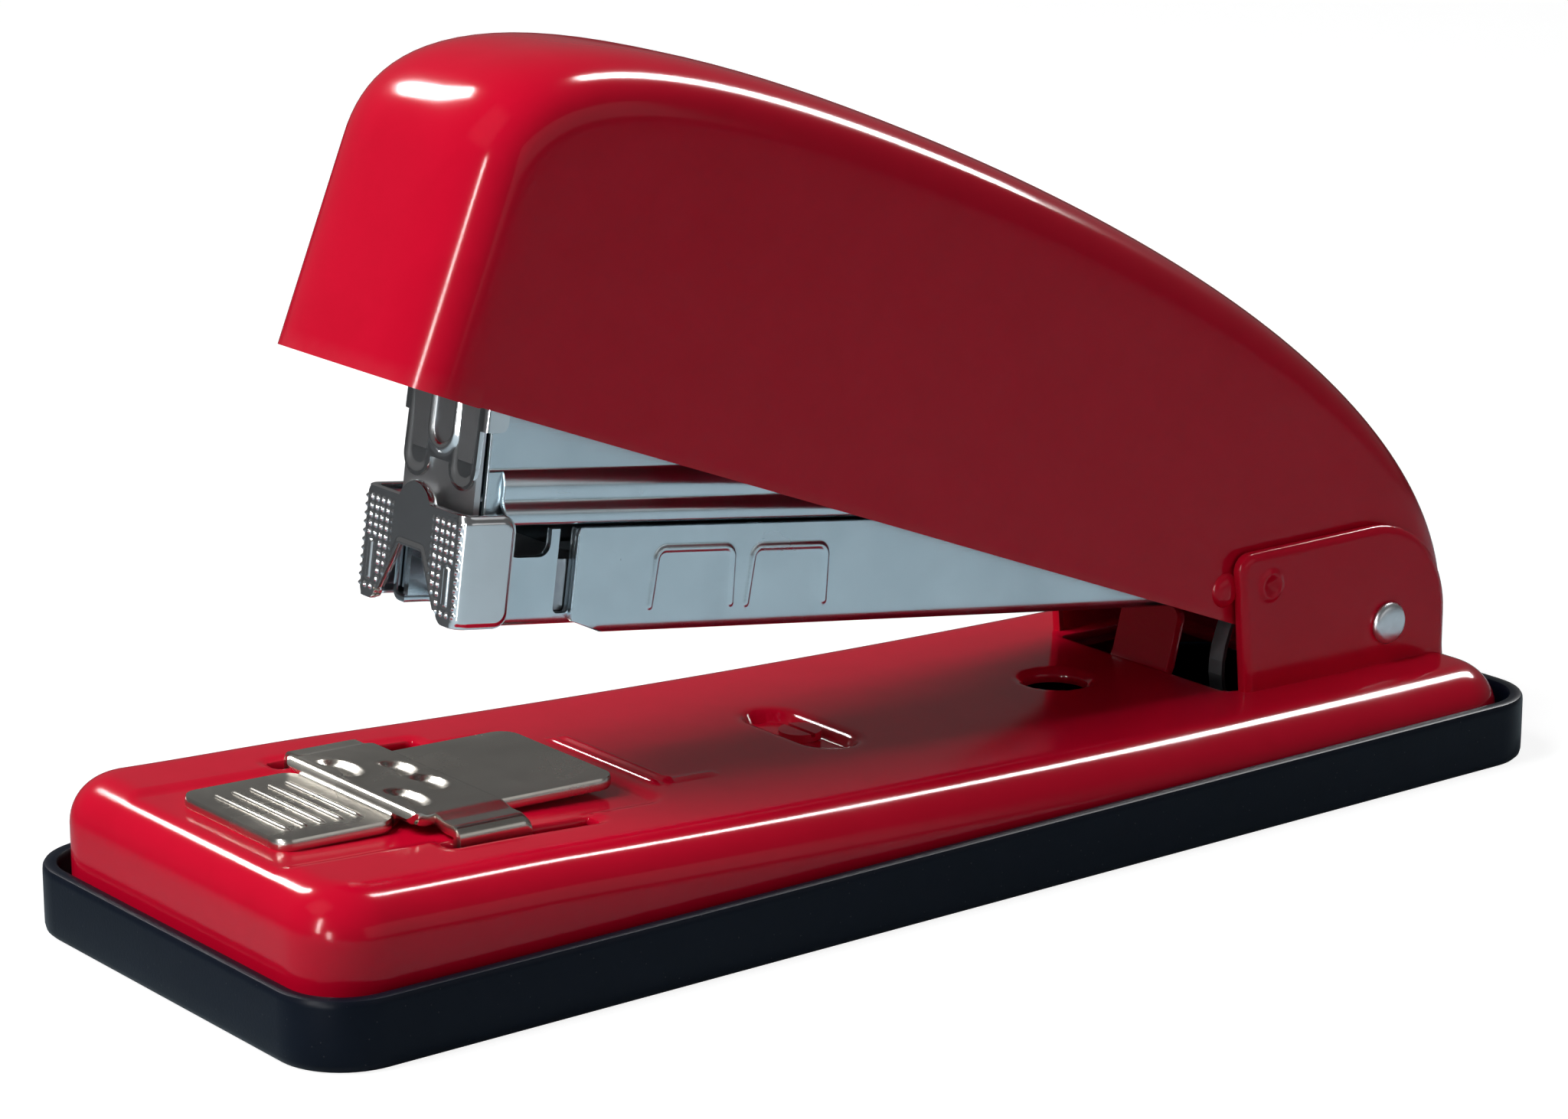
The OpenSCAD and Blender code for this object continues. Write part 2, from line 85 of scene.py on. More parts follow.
magazineAt = tilted(pin, 8)
coverAt = tilted(pin, 21.5)
anvilAt = tilted((-56, 0, 17.15), 1.6)


# flat distances: negative inside
def distBox(u, v, cu, cv, hu, hv, r=0.0):
    a, b = np.abs(u - cu) - hu + r, np.abs(v - cv) - hv + r
    return np.hypot(np.maximum(a, 0), np.maximum(b, 0)) + np.minimum(np.maximum(a, b), 0) - r


def distDisc(u, v, cu, cv, r):
    return np.hypot(u - cu, v - cv) - r


def distPoly(u, v, pts):
    p = np.array(pts, float)
    q = np.roll(p, -1, 0)
    best = np.full(u.shape, 1e9)
    inside = np.zeros(u.shape, bool)
    for (ax, ay), (bx, by) in zip(p, q):
        ex, ey = bx - ax, by - ay
        t = np.clip(((u - ax) * ex + (v - ay) * ey) / (ex * ex + ey * ey + 1e-12), 0, 1)
        best = np.minimum(best, np.hypot(u - ax - t * ex, v - ay - t * ey))
        if ay != by:
            cross = (ay > v) != (by > v)
            inside ^= cross & (u < ex * (v - ay) / ey + ax)
    return np.where(inside, -best, best)


def ease(x):
    x = np.clip(x, 0, 1)
    return x * x * (3 - 2 * x)


def arcPoints(cx, cy, r, a0, a1, n):
    return [(cx + r * math.cos(math.radians(a0 + (a1 - a0) * i / n)),
             cy + r * math.sin(math.radians(a0 + (a1 - a0) * i / n))) for i in range(n + 1)]


# mesh tools
def meshObject(name, verts, faces, sharp=40):
    mesh = bpy.data.meshes.new(name)
    points = [tuple(p) for p in np.asarray(verts, float) * mm]
    mesh.from_pydata(points, [], [tuple(int(i) for i in f) for f in faces])
    mesh.validate()
    mesh.update()
    mesh.shade_smooth()
    mesh.set_sharp_from_angle(angle=math.radians(sharp))
    obj = bpy.data.objects.new(name, mesh)
    scene.collection.objects.link(obj)
    return obj


def spaced(a, b, step):
    return np.linspace(a, b, max(2, int(round(abs(b - a) / step)) + 1))


def stretched(*marks):
    # points from mark to mark, each stretch with its own spacing
    parts = [spaced(start[0], end[0], start[1])[:-1] for start, end in zip(marks, marks[1:])]
    return np.concatenate(parts + [[marks[-1][0]]])


# a grid laid on place(u, v), trimmed where cut(u, v) > 0, with a wall and a rounded rim
def sheetPiece(name, us, vs, place, wall, cut=None, flip=False, sharp=50):
    u, v = [g.ravel() for g in np.meshgrid(us, vs, indexing="ij")]
    nu, nv = len(us), len(vs)
    step = max(np.diff(us).max(), np.diff(vs).max())
    inside = np.ones((nu, nv), bool)
    if cut:
        inside = (cut(u, v) < 0.5 * step).reshape(nu, nv)
    cell = inside[:-1, :-1] & inside[1:, :-1] & inside[1:, 1:] & inside[:-1, 1:]
    uses = np.zeros((nu, nv), int)
    for a in (0, 1):
        for b in (0, 1):
            uses[a:nu - 1 + a, b:nv - 1 + b] += cell
    if cut:
        rim = ((uses > 0) & (uses < 4)).ravel()
        h = 0.02
        for again in range(4):
            ru, rv = u[rim], v[rim]
            d = cut(ru, rv)
            gu = (cut(ru + h, rv) - cut(ru - h, rv)) / (2 * h)
            gv = (cut(ru, rv + h) - cut(ru, rv - h)) / (2 * h)
            g = np.maximum(gu * gu + gv * gv, 0.2)
            near = np.abs(d) < 1.7 * step
            u[rim] = ru - np.where(near, d * gu / g, 0)
            v[rim] = rv - np.where(near, d * gv / g, 0)
    index = np.full(nu * nv, -1)
    keep = np.flatnonzero(uses.ravel() > 0)
    index[keep] = np.arange(len(keep))
    u, v = u[keep], v[keep]
    i, j = np.nonzero(cell)
    base = i * nv + j
    quads = index[np.stack([base, base + nv, base + nv + 1, base + 1], 1)]
    if flip:
        quads = quads[:, ::-1]
    h = 0.01
    top = place(u, v)
    normal = np.cross(place(u + h, v) - place(u - h, v), place(u, v + h) - place(u, v - h))
    normal *= (-1 if flip else 1) / np.maximum(np.linalg.norm(normal, axis=1, keepdims=True), 1e-12)
    n = len(top)
    edges = np.concatenate([np.stack([quads[:, k], quads[:, (k + 1) % 4]], 1) for k in range(4)])
    key = np.sort(edges, 1) @ np.array([n, 1])
    first, count = np.unique(key, return_index=True, return_counts=True)[1:]
    rimEdges = edges[first[count == 1]]
    out = np.zeros((n, 3))
    side = np.cross(top[rimEdges[:, 1]] - top[rimEdges[:, 0]], normal[rimEdges[:, 0]])
    np.add.at(out, rimEdges[:, 0], side)
    np.add.at(out, rimEdges[:, 1], side)
    out /= np.maximum(np.linalg.norm(out, axis=1, keepdims=True), 1e-9)
    rimVerts = np.unique(rimEdges)
    slot = np.full(n, -1)
    slot[rimVerts] = np.arange(len(rimVerts))
    m = len(rimVerts)
    loops = [top[rimVerts] - normal[rimVerts] * wall * f + out[rimVerts] * wall * 0.1 for f in (0.22, 0.78)]
    verts = np.concatenate([top, top - normal * wall] + loops)
    faces = [tuple(q) for q in quads] + [tuple(q + n) for q in quads[:, ::-1]]
    for a, b in rimEdges:
        la, lb = 2 * n + slot[a], 2 * n + slot[b]
        faces += [(b, a, la, lb), (lb, la, la + m, lb + m), (lb + m, la + m, a + n, b + n)]
    return meshObject(name, verts, faces, sharp)


# shared shader effects
def newGroup(name, inputs, outputs):
    tree = bpy.data.node_groups.new(name, "ShaderNodeTree")
    for label, kind, value in inputs:
        sock = tree.interface.new_socket(label, in_out="INPUT", socket_type=kind)
        sock.default_value = value
    for label, kind in outputs:
        tree.interface.new_socket(label, in_out="OUTPUT", socket_type=kind)
    return tree, tree.nodes.new("NodeGroupInput"), tree.nodes.new("NodeGroupOutput")


def addNode(tree, kind, settings=None, **values):
    node = tree.nodes.new(kind)
    for key, value in (settings or {}).items():
        setattr(node, key, value)
    for key, value in values.items():
        node.inputs[int(key[1:]) if key[1:].isdigit() else key.replace("_", " ")].default_value = value
    return node


def link(tree, a, b):
    tree.links.new(a, b)


def makeHandlingGroup():
    # faint smudges and dust: a slow mask for roughness and a fine speckle
    tree, gin, gout = newGroup("handling",
                               [("Size", "NodeSocketFloat", 60.0), ("Dust", "NodeSocketFloat", 0.3)],
                               [("Smudge", "NodeSocketFloat"), ("Specks", "NodeSocketFloat")])
    coord = addNode(tree, "ShaderNodeTexCoord")
    slow = addNode(tree, "ShaderNodeTexNoise", Detail=5.0, Roughness=0.6, Distortion=0.8)
    link(tree, coord.outputs["Object"], slow.inputs["Vector"])
    link(tree, gin.outputs["Size"], slow.inputs["Scale"])
    soft = addNode(tree, "ShaderNodeMapRange", i1=0.38, i2=0.72)
    link(tree, slow.outputs["Fac"], soft.inputs[0])
    fine = addNode(tree, "ShaderNodeTexVoronoi", Scale=900.0)
    link(tree, coord.outputs["Object"], fine.inputs["Vector"])
    dots = addNode(tree, "ShaderNodeMapRange", i1=0.10, i2=0.03)
    link(tree, fine.outputs["Distance"], dots.inputs[0])
    some = addNode(tree, "ShaderNodeMath", {"operation": "MULTIPLY"})
    link(tree, dots.outputs[0], some.inputs[0])
    link(tree, gin.outputs["Dust"], some.inputs[1])
    link(tree, soft.outputs[0], gout.inputs["Smudge"])
    link(tree, some.outputs[0], gout.inputs["Specks"])
    return tree


def makeBrushGroup():
    # fine lines along one way, from noise stretched by a mapping
    tree, gin, gout = newGroup("brushing", [("Stretch", "NodeSocketVector", (400.0, 8000.0, 8000.0)),
                                            ("Turn", "NodeSocketVector", (0.0, 0.0, 0.0))],
                               [("Lines", "NodeSocketFloat"), ("Blotch", "NodeSocketFloat")])
    coord = addNode(tree, "ShaderNodeTexCoord")
    turned = addNode(tree, "ShaderNodeVectorRotate", {"rotation_type": "EULER_XYZ"})
    link(tree, coord.outputs["Object"], turned.inputs["Vector"])
    link(tree, gin.outputs["Turn"], turned.inputs["Rotation"])
    stretched = addNode(tree, "ShaderNodeVectorMath", {"operation": "MULTIPLY"})
    link(tree, turned.outputs["Vector"], stretched.inputs[0])
    link(tree, gin.outputs["Stretch"], stretched.inputs[1])
    lines = addNode(tree, "ShaderNodeTexNoise", Scale=1.0, Detail=3.0, Roughness=0.55)
    link(tree, stretched.outputs["Vector"], lines.inputs["Vector"])
    blotch = addNode(tree, "ShaderNodeTexNoise", Scale=140.0, Detail=4.0, Roughness=0.55, Distortion=0.4)
    link(tree, coord.outputs["Object"], blotch.inputs["Vector"])
    link(tree, lines.outputs["Fac"], gout.inputs["Lines"])
    link(tree, blotch.outputs["Fac"], gout.inputs["Blotch"])
    return tree


def makeEdgeGroup():
    # worn or bright edges, from how the surface curves
    tree, gin, gout = newGroup("edge wear",
                               [("From", "NodeSocketFloat", 0.53), ("To", "NodeSocketFloat", 0.62)],
                               [("Edge", "NodeSocketFloat")])
    geo = addNode(tree, "ShaderNodeNewGeometry")
    coord = addNode(tree, "ShaderNodeTexCoord")
    ramp = addNode(tree, "ShaderNodeMapRange")
    link(tree, geo.outputs["Pointiness"], ramp.inputs[0])
    link(tree, gin.outputs["From"], ramp.inputs[1])
    link(tree, gin.outputs["To"], ramp.inputs[2])
    patchy = addNode(tree, "ShaderNodeTexNoise", Scale=500.0, Detail=3.0)
    link(tree, coord.outputs["Object"], patchy.inputs["Vector"])
    mask = addNode(tree, "ShaderNodeMath", {"operation": "MULTIPLY"})
    link(tree, ramp.outputs[0], mask.inputs[0])
    link(tree, patchy.outputs["Fac"], mask.inputs[1])
    link(tree, mask.outputs[0], gout.inputs["Edge"])
    return tree


effects = {"handling": makeHandlingGroup(), "brushing": makeBrushGroup(), "edge": makeEdgeGroup()}

# finishes
metal = {"metal": 1.0, "specular": 0.5, "ior": 1.5}
paint = {"metal": 0.0, "ior": 1.5}
finishes = {
    "redEnamel": {**paint, "colour": (0.70, 0.003, 0.030), "dark": (0.61, 0.002, 0.023), "rough": 0.11,
                  "roughMore": 0.06, "specular": 0.21, "coatRough": 0.04, "grain": ("noise", 260.0, 0.05),
                  "size": 26.0, "dust": 0.0},
    "trayPlastic": {"metal": 0.0, "ior": 1.46, "colour": (0.004, 0.008, 0.018), "rough": 0.30,
                    "dark": (0.002, 0.005, 0.012), "roughMore": 0.10, "specular": 0.11, "coatRough": 0.3,
                    "grain": ("noise", 2600.0, 0.10), "size": 40.0, "dust": 0.05},
    "platedSteel": {**metal, "colour": (0.66, 0.745, 0.79), "dark": (0.50, 0.58, 0.625), "rough": 0.20,
                    "roughMore": 0.10, "grain": ("brush", 1.0, 0.06), "size": 50.0, "dust": 0.10},
    "nickelPlate": {**metal, "colour": (0.66, 0.63, 0.57), "dark": (0.49, 0.46, 0.41), "rough": 0.22,
                    "roughMore": 0.10, "grain": ("noise", 1500.0, 0.05), "size": 70.0, "dust": 0.12},
    "chromePlate": {**metal, "colour": (0.72, 0.74, 0.76), "dark": (0.58, 0.59, 0.60), "rough": 0.13,
                    "roughMore": 0.08, "grain": ("noise", 1500.0, 0.03), "size": 70.0, "dust": 0.03},
    "brushedBlade": {**metal, "colour": (0.60, 0.60, 0.60), "dark": (0.44, 0.44, 0.45), "rough": 0.30,
                     "roughMore": 0.12, "grain": ("brushUp", 1.0, 0.12), "size": 50.0, "dust": 0.05},
    "springSteel": {**metal, "colour": (0.30, 0.31, 0.33), "dark": (0.20, 0.21, 0.23), "rough": 0.30,
                    "roughMore": 0.12, "grain": ("noise", 1800.0, 0.06), "size": 60.0, "dust": 0.1},
    "zincPlate": {**metal, "colour": (0.74, 0.76, 0.78), "dark": (0.58, 0.60, 0.63), "rough": 0.26,
                  "roughMore": 0.12, "grain": ("noise", 1300.0, 0.06), "size": 60.0, "dust": 0.1},
}
brushStretch = {"brush": (350, 9000, 9000), "brushUp": (6000, 9000, 300)}
magazineTilt = math.radians(-8)
dustColour = (0.62, 0.60, 0.57, 1)
wornMetal, wornPaint = (0.16, 0.16, 0.16, 1), (0.05, 0.04, 0.04, 1)


def makeFinish(name, f):
    mat = bpy.data.materials.new(name)
    mat.use_nodes = True
    tree = mat.node_tree
    shader = tree.nodes["Principled BSDF"]
    for label, value in (("Coat Roughness", f.get("coatRough", 0.1)), ("IOR", f["ior"]),
                         ("Specular IOR Level", f["specular"]), ("Metallic", f["metal"])):
        shader.inputs[label].default_value = value
    handling = addNode(tree, "ShaderNodeGroup", {"node_tree": effects["handling"]}, Size=f["size"],
                       Dust=f["dust"])
    brushing = addNode(tree, "ShaderNodeGroup", {"node_tree": effects["brushing"]})
    edge = addNode(tree, "ShaderNodeGroup", {"node_tree": effects["edge"]})
    kind, scale, depth = f["grain"]
    if kind in brushStretch:
        brushing.inputs["Stretch"].default_value = brushStretch[kind]
        brushing.inputs["Turn"].default_value = (0, magazineTilt, 0)
    tint = addNode(tree, "ShaderNodeMix", {"data_type": "RGBA"})
    tint.inputs[6].default_value = (*f["colour"], 1)
    tint.inputs[7].default_value = (*f["dark"], 1)
    link(tree, brushing.outputs["Blotch"], tint.inputs[0])
    dusty = addNode(tree, "ShaderNodeMix", {"data_type": "RGBA"})
    dusty.inputs[7].default_value = dustColour
    link(tree, handling.outputs["Specks"], dusty.inputs[0])
    link(tree, tint.outputs[2], dusty.inputs[6])
    bright = addNode(tree, "ShaderNodeMix", {"data_type": "RGBA", "blend_type": "SCREEN"})
    bright.inputs[7].default_value = wornMetal if f["metal"] else wornPaint
    link(tree, edge.outputs["Edge"], bright.inputs[0])
    link(tree, dusty.outputs[2], bright.inputs[6])
    link(tree, bright.outputs[2], shader.inputs["Base Color"])
    rough = addNode(tree, "ShaderNodeMath", {"operation": "MULTIPLY_ADD"}, i1=f["roughMore"], i2=f["rough"])
    link(tree, handling.outputs["Smudge"], rough.inputs[0])
    link(tree, rough.outputs[0], shader.inputs["Roughness"])
    bump = addNode(tree, "ShaderNodeBump", Strength=depth, Distance=0.0001)
    if kind == "noise":
        coord = addNode(tree, "ShaderNodeTexCoord")
        grain = addNode(tree, "ShaderNodeTexNoise", Scale=scale, Detail=2.0)
        link(tree, coord.outputs["Object"], grain.inputs["Vector"])
        link(tree, grain.outputs["Fac"], bump.inputs["Height"])
    else:
        link(tree, brushing.outputs["Lines"], bump.inputs["Height"])
    link(tree, bump.outputs[0], shader.inputs["Normal"])
    return mat


materials = {name: makeFinish(name, f) for name, f in finishes.items()}
print("finishes made:", len(materials))


def finishPiece(obj, finish, body, *replaced):
    obj.data.materials.clear()
    obj.data.materials.append(materials[finish])
    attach(obj, body)
    if replaced:
        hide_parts(*replaced)
    return obj


# foot
foot = {"halfLength": 85, "halfWidth": 29.8, "corner": 8, "height": 7.6, "wall": 1.7, "floor": 1.6,
        "cornerSteps": 14}


def roundedRing(hx, hy, r, z, n):
    pts = []
    for quarter, (sx, sy) in enumerate(((1, 1), (-1, 1), (-1, -1), (1, -1))):
        start = 90 * quarter
        pts += [(x, y, z) for x, y in arcPoints(sx * (hx - r), sy * (hy - r), r, start, start + 90, n)]
    return pts


def makeFoot():
    f = foot
    h, w = f["height"], f["wall"]
    # inset and height, from the underside over the rim and down to the tray's floor
    profile = [(1.1, 0), (0.5, 0.12), (0.15, 0.45), (0.02, 1.0), (0, 2.5), (0, h - 0.9), (0.05, h - 0.4),
               (0.22, h - 0.12), (0.5, h), (w - 0.55, h), (w - 0.22, h - 0.1), (w - 0.05, h - 0.35),
               (w, h - 0.8), (w, f["floor"] + 0.8), (w + 0.25, f["floor"] + 0.2), (w + 0.8, f["floor"])]
    verts, faces = [], []
    n = 4 * (f["cornerSteps"] + 1)
    for inset, z in profile:
        verts += roundedRing(f["halfLength"] - inset, f["halfWidth"] - inset, f["corner"] - inset, z,
                             f["cornerSteps"])
    for k in range(len(profile) - 1):
        for i in range(n):
            a, b = k * n + i, k * n + (i + 1) % n
            faces.append((a, b, b + n, a + n))
    faces.append(tuple(range(n - 1, -1, -1)))
    faces.append(tuple(range((len(profile) - 1) * n, len(profile) * n)))
    return finishPiece(meshObject("footTray", verts, faces, 35), "trayPlastic", "base", "base_tray")


makeFoot()

# pressed base
# panel, pocket, window and slots: middle, half sizes and corner; ridges: their places along X
base = {"coreX": 77.2, "coreY": 22.0, "coreCorner": 2.2, "edge": 5.5, "bottom": 2.2, "wall": 1.0,
        "step": 0.62, "skirt": 17.5, "panel": (-62.9, 0, 30.0, 14.7, 2.2), "panelDepth": 0.5,
        "ridges": (-30.2, -28.6), "ridgeHalf": 9.4, "ridgeRise": 0.42, "bar": (-26.0, -9.4, 3.2, 0.1),
        "hole": (33.9, 0, 3.75), "pocket": (-3.5, 0, 3.0, 7.7), "pocketDepth": 1.15,
        "window": (55.1, 0, 7.9, 14.6, 1.2), "slots": (-52.3, 16.35, 9.3, 1.35)}


def baseTop(x):
    x = np.clip(x, -83, 83)
    return 12.947 - 0.04303 * x + 0.000218 * x * x - 0.6 * ease((-x - 50) / 30)


def basePlace(u, v):
    b = base
    h = 0.01

    def core(p, q):
        return distBox(p, q, 0, 0, b["coreX"], b["coreY"], b["coreCorner"])
    e = core(u, v)
    gx = (core(u + h, v) - core(u - h, v)) / (2 * h)
    gy = (core(u, v + h) - core(u, v - h)) / (2 * h)
    out = e > 0
    e = np.maximum(e, 0)
    bend = np.minimum(e / b["edge"], math.pi / 2)
    inset = b["edge"] * np.sin(bend)
    drop = b["edge"] * (1 - np.cos(bend)) + np.maximum(e - b["edge"] * math.pi / 2, 0)
    x = np.where(out, u - e * gx + inset * gx, u)
    y = np.where(out, v - e * gy + inset * gy, v)
    px, py, phx, phy, pr = b["panel"]
    sunk = b["panelDepth"] * ease(0.5 - distBox(x, y, px, py, phx, phy, pr) / 1.1)
    z = baseTop(x) - 0.5 * (drop + sunk + np.sqrt((drop - sunk) ** 2 + 0.02)) + 0.07
    for rx in b["ridges"]:
        z = z + b["ridgeRise"] * ease(1 - distBox(x, y, rx, 0, 0.12, b["ridgeHalf"]) / 0.62)
    z = z + 0.30 * ease(1 - distBox(x, y, *b["bar"]) / 0.5)
    kx, ky, khx, khy = b["pocket"]
    d = distBox(x, y, kx, ky, khx, khy, khx)
    z = z - b["pocketDepth"] * ease(0.5 - d / 1.1) - 0.25 * ease(1 - np.abs(d) / 1.6)
    z = z - 0.5 * ease(1 - distDisc(x, y, *b["hole"]) / 1.1)
    wx, wy, whx, why, wr = b["window"]
    z = z - 0.35 * ease(1 - distBox(x, y, wx, wy, whx, why, wr) / 0.9)
    sx, sy, shx, shy = b["slots"]
    z = z - 0.35 * ease(1 - distBox(x, np.abs(y), sx, sy, shx, shy, 0.8) / 0.9)
    return np.stack([x, y, z], -1)


def baseCut(u, v):
    b = base
    p = basePlace(u, v)
    e = np.maximum(distBox(u, v, 0, 0, b["coreX"], b["coreY"], b["coreCorner"]), 0)
    low = b["bottom"] - p[:, 2]
    low = np.where(e > b["edge"], low, -3)
    wx, wy, whx, why, wr = b["window"]
    sx, sy, shx, shy = b["slots"]
    d = np.maximum(low, -distDisc(u, v, *b["hole"]))
    d = np.maximum(d, -distBox(u, v, wx, wy, whx, why, wr))
    return np.maximum(d, -distBox(u, np.abs(v), sx, sy, shx, shy, 0.8))


def makeBase():
    b = base
    ux, uy = b["coreX"] + b["skirt"], b["coreY"] + b["skirt"]
    coarse = b["step"]
    along = stretched((-ux, coarse), (-31.6, 0.24), (-27.2, coarse), (-8, 0.4), (1.2, coarse), (ux, 0))
    across = spaced(-uy, uy, coarse)
    shell = sheetPiece("baseShell", along, across, basePlace, b["wall"], baseCut, sharp=38)
    finishPiece(shell, "redEnamel", "base", "base_plate")


makeBase()

# hinge ears and the bent tongue
ear = {"outer": 17.0, "wall": 1.2, "foot": 8.6, "step": 0.3, "hole": 1.95, "dimple": (51.4, 23.6, 1.45),
       "front": [(48.4, 8.6), (46.9, 25.5)], "back": (80, 8.6)}


def earOutline():
    corner, dome = arcPoints(48.9, 25.6, 2, 180, 95, 6), arcPoints(68, 15.6, 12, 90, 0, 20)
    return ear["front"] + corner + dome + [ear["back"]]


def makeEars():
    outline = earOutline()
    us, vs = spaced(45, 82, ear["step"]), spaced(ear["foot"] - 1, 29, ear["step"])

    def cut(u, v):
        return np.maximum(distPoly(u, v, outline), -distDisc(u, v, pin[0], pin[2], ear["hole"]))
    for side, name in ((-1, "earNear"), (1, "earFar")):
        def place(u, v):
            rim = distPoly(u, v, outline)
            flare = 0.35 * ease(1 - (v - ear["foot"]) / 3.0)
            r = np.hypot(u - ear["dimple"][0], v - ear["dimple"][1])
            dent = 0.32 * ease(1 - np.abs(r - ear["dimple"][2]) / 0.6) - 0.45 * ease(1 - r / 0.95)
            edge = 0.34 * ease(1 + rim / 0.7)
            return np.stack([u, side * (ear["outer"] + flare + dent - edge), v], -1)
        piece = sheetPiece(name, us, vs, place, ear["wall"], cut, flip=side > 0)
        finishPiece(piece, "redEnamel", "base")


makeEars()

tongue = {"root": (46.4, 9.8), "lean": 15, "length": 9, "half": 4.7, "thick": 1.2}


def makeTongue():
    c, s = math.cos(math.radians(tongue["lean"])), math.sin(math.radians(tongue["lean"]))

    def place(u, v):
        foot = ease(1 - v / 2.2) * 1.1
        return np.stack([tongue["root"][0] + v * s - foot, u, tongue["root"][1] + v * c], -1)

    def cut(u, v):
        return distBox(u, v, 0, 3.0, tongue["half"], tongue["length"] - 3.0, 1.4)
    us, vs = spaced(-5.2, 5.2, 0.35), spaced(-0.6, tongue["length"] + 0.4, 0.35)
    piece = sheetPiece("liftTongue", us, vs, place, tongue["thick"], cut, flip=True)
    finishPiece(piece, "redEnamel", "base")


makeTongue()
print("foot, base, ears and tongue made")

# anvil
# tongue and plate: middle, half sizes and corner; band and wing: middle and half along X
anvil = {"sheet": 1.3, "step": 0.25, "tongue": (-13.6, 0, 6.9, 9.9, 2.0), "plate": (12, 0, 8.4, 10.2, 2.2),
         "band": (-0.85, 5.75), "bandHalf": 12.2, "bandRise": 0.7, "lipRise": 0.35, "grooveDepth": 0.62,
         "wing": (0.7, 4.4), "wingHalf": 16.6, "wingDrop": 3.0, "bend": 1.3,
         "grooves": ((-2.9, 6.2, 6.4), (-2.9, -6.2, 6.4), (1.9, 2.9, 5.2), (1.9, -2.9, 5.2))}


def anvilHeight(x, y):
    a = anvil
    bc, bh = a["band"]
    z = a["bandRise"] * ease((bh + 0.35 - np.abs(x - bc)) / 0.9)
    z = z + a["lipRise"] * ease(1 - np.abs(x - bc + bh - 0.9) / 1.0)
    z = z - 0.5 * ease((np.abs(y) - a["bandHalf"] + 0.6) / 2.5)
    for gx, gy, length in a["grooves"]:
        bow = 0.8 * np.clip((y - gy) / (length / 2), -1, 1) ** 2
        d = distBox(x + bow, y, gx + 0.2, gy, 0.01, length / 2 - 0.9)
        z = z - a["grooveDepth"] * ease(1.1 - d / 1.35) + 0.08 * ease(1 - np.abs(d - 1.3) / 0.5)
    return z


def makeAnvil():
    a = anvil
    bend = a["bend"]
    flat = a["wingHalf"] - bend

    def place(u, v):
        side = np.sign(v)
        e = np.maximum(np.abs(v) - flat, 0)
        turn = np.minimum(e / bend, math.pi / 2)
        y = np.where(np.abs(v) < flat, v, side * (flat + bend * np.sin(turn)))
        drop = bend * (1 - np.cos(turn)) + np.maximum(e - bend * math.pi / 2, 0)
        return anvilAt(u, y, anvilHeight(u, y) - drop)

    def cut(u, v):
        tongue = distBox(u, v, *a["tongue"])
        plate = distBox(u, v, *a["plate"])
        bc, bh = a["band"]
        band = distBox(u, v, bc, 0, bh, a["bandHalf"], 1.2)
        wc, wh = a["wing"]
        wing = distBox(u, v, wc, 0, wh, flat + bend * math.pi / 2 + a["wingDrop"] - bend, 0.5)
        return np.minimum(np.minimum(tongue, plate), np.minimum(band, wing))
    us, vs = spaced(-21.2, 21.2, a["step"]), spaced(-20.6, 20.6, a["step"])
    finishPiece(sheetPiece("anvil", us, vs, place, a["sheet"], cut), "nickelPlate", "anvil", "anvil_plate")


makeAnvil()


# trees that repeat a shape
def nodeTree(name, inputs):
    tree = bpy.data.node_groups.new(name, "GeometryNodeTree")
    tree.interface.new_socket("Geometry", in_out="INPUT", socket_type="NodeSocketGeometry")
    for label, kind, value in inputs:
        sock = tree.interface.new_socket(label, in_out="INPUT", socket_type=kind)
        if value is not None:
            sock.default_value = value
    tree.interface.new_socket("Geometry", in_out="OUTPUT", socket_type="NodeSocketGeometry")
    return tree, tree.nodes.new("NodeGroupInput"), tree.nodes.new("NodeGroupOutput")


def closeTree(tree, gin, gout, geometry):
    real = addNode(tree, "GeometryNodeRealizeInstances")
    paint = addNode(tree, "GeometryNodeSetMaterial")
    link(tree, geometry, real.inputs[0])
    link(tree, real.outputs[0], paint.inputs["Geometry"])
    link(tree, gin.outputs["Finish"], paint.inputs["Material"])
    link(tree, paint.outputs[0], gout.inputs["Geometry"])
    return tree


def springTree():
    # a wire bent round a helix along Z
    tree, gin, gout = nodeTree("spring coil", [
        ("Turns", "NodeSocketFloat", 6.0), ("Coil Radius", "NodeSocketFloat", 0.003),
        ("Wire Radius", "NodeSocketFloat", 0.0004), ("Height", "NodeSocketFloat", 0.01),
        ("Steps Per Turn", "NodeSocketInt", 28), ("Finish", "NodeSocketMaterial", None)])
    spiral = addNode(tree, "GeometryNodeCurveSpiral")
    link(tree, gin.outputs["Steps Per Turn"], spiral.inputs["Resolution"])
    link(tree, gin.outputs["Turns"], spiral.inputs["Rotations"])
    link(tree, gin.outputs["Coil Radius"], spiral.inputs["Start Radius"])
    link(tree, gin.outputs["Coil Radius"], spiral.inputs["End Radius"])
    link(tree, gin.outputs["Height"], spiral.inputs["Height"])
    wire = addNode(tree, "GeometryNodeCurvePrimitiveCircle", Resolution=8)
    link(tree, gin.outputs["Wire Radius"], wire.inputs["Radius"])
    sweep = addNode(tree, "GeometryNodeCurveToMesh", Fill_Caps=True)
    link(tree, spiral.outputs[0], sweep.inputs["Curve"])
    link(tree, wire.outputs[0], sweep.inputs["Profile Curve"])
    return closeTree(tree, gin, gout, sweep.outputs[0])


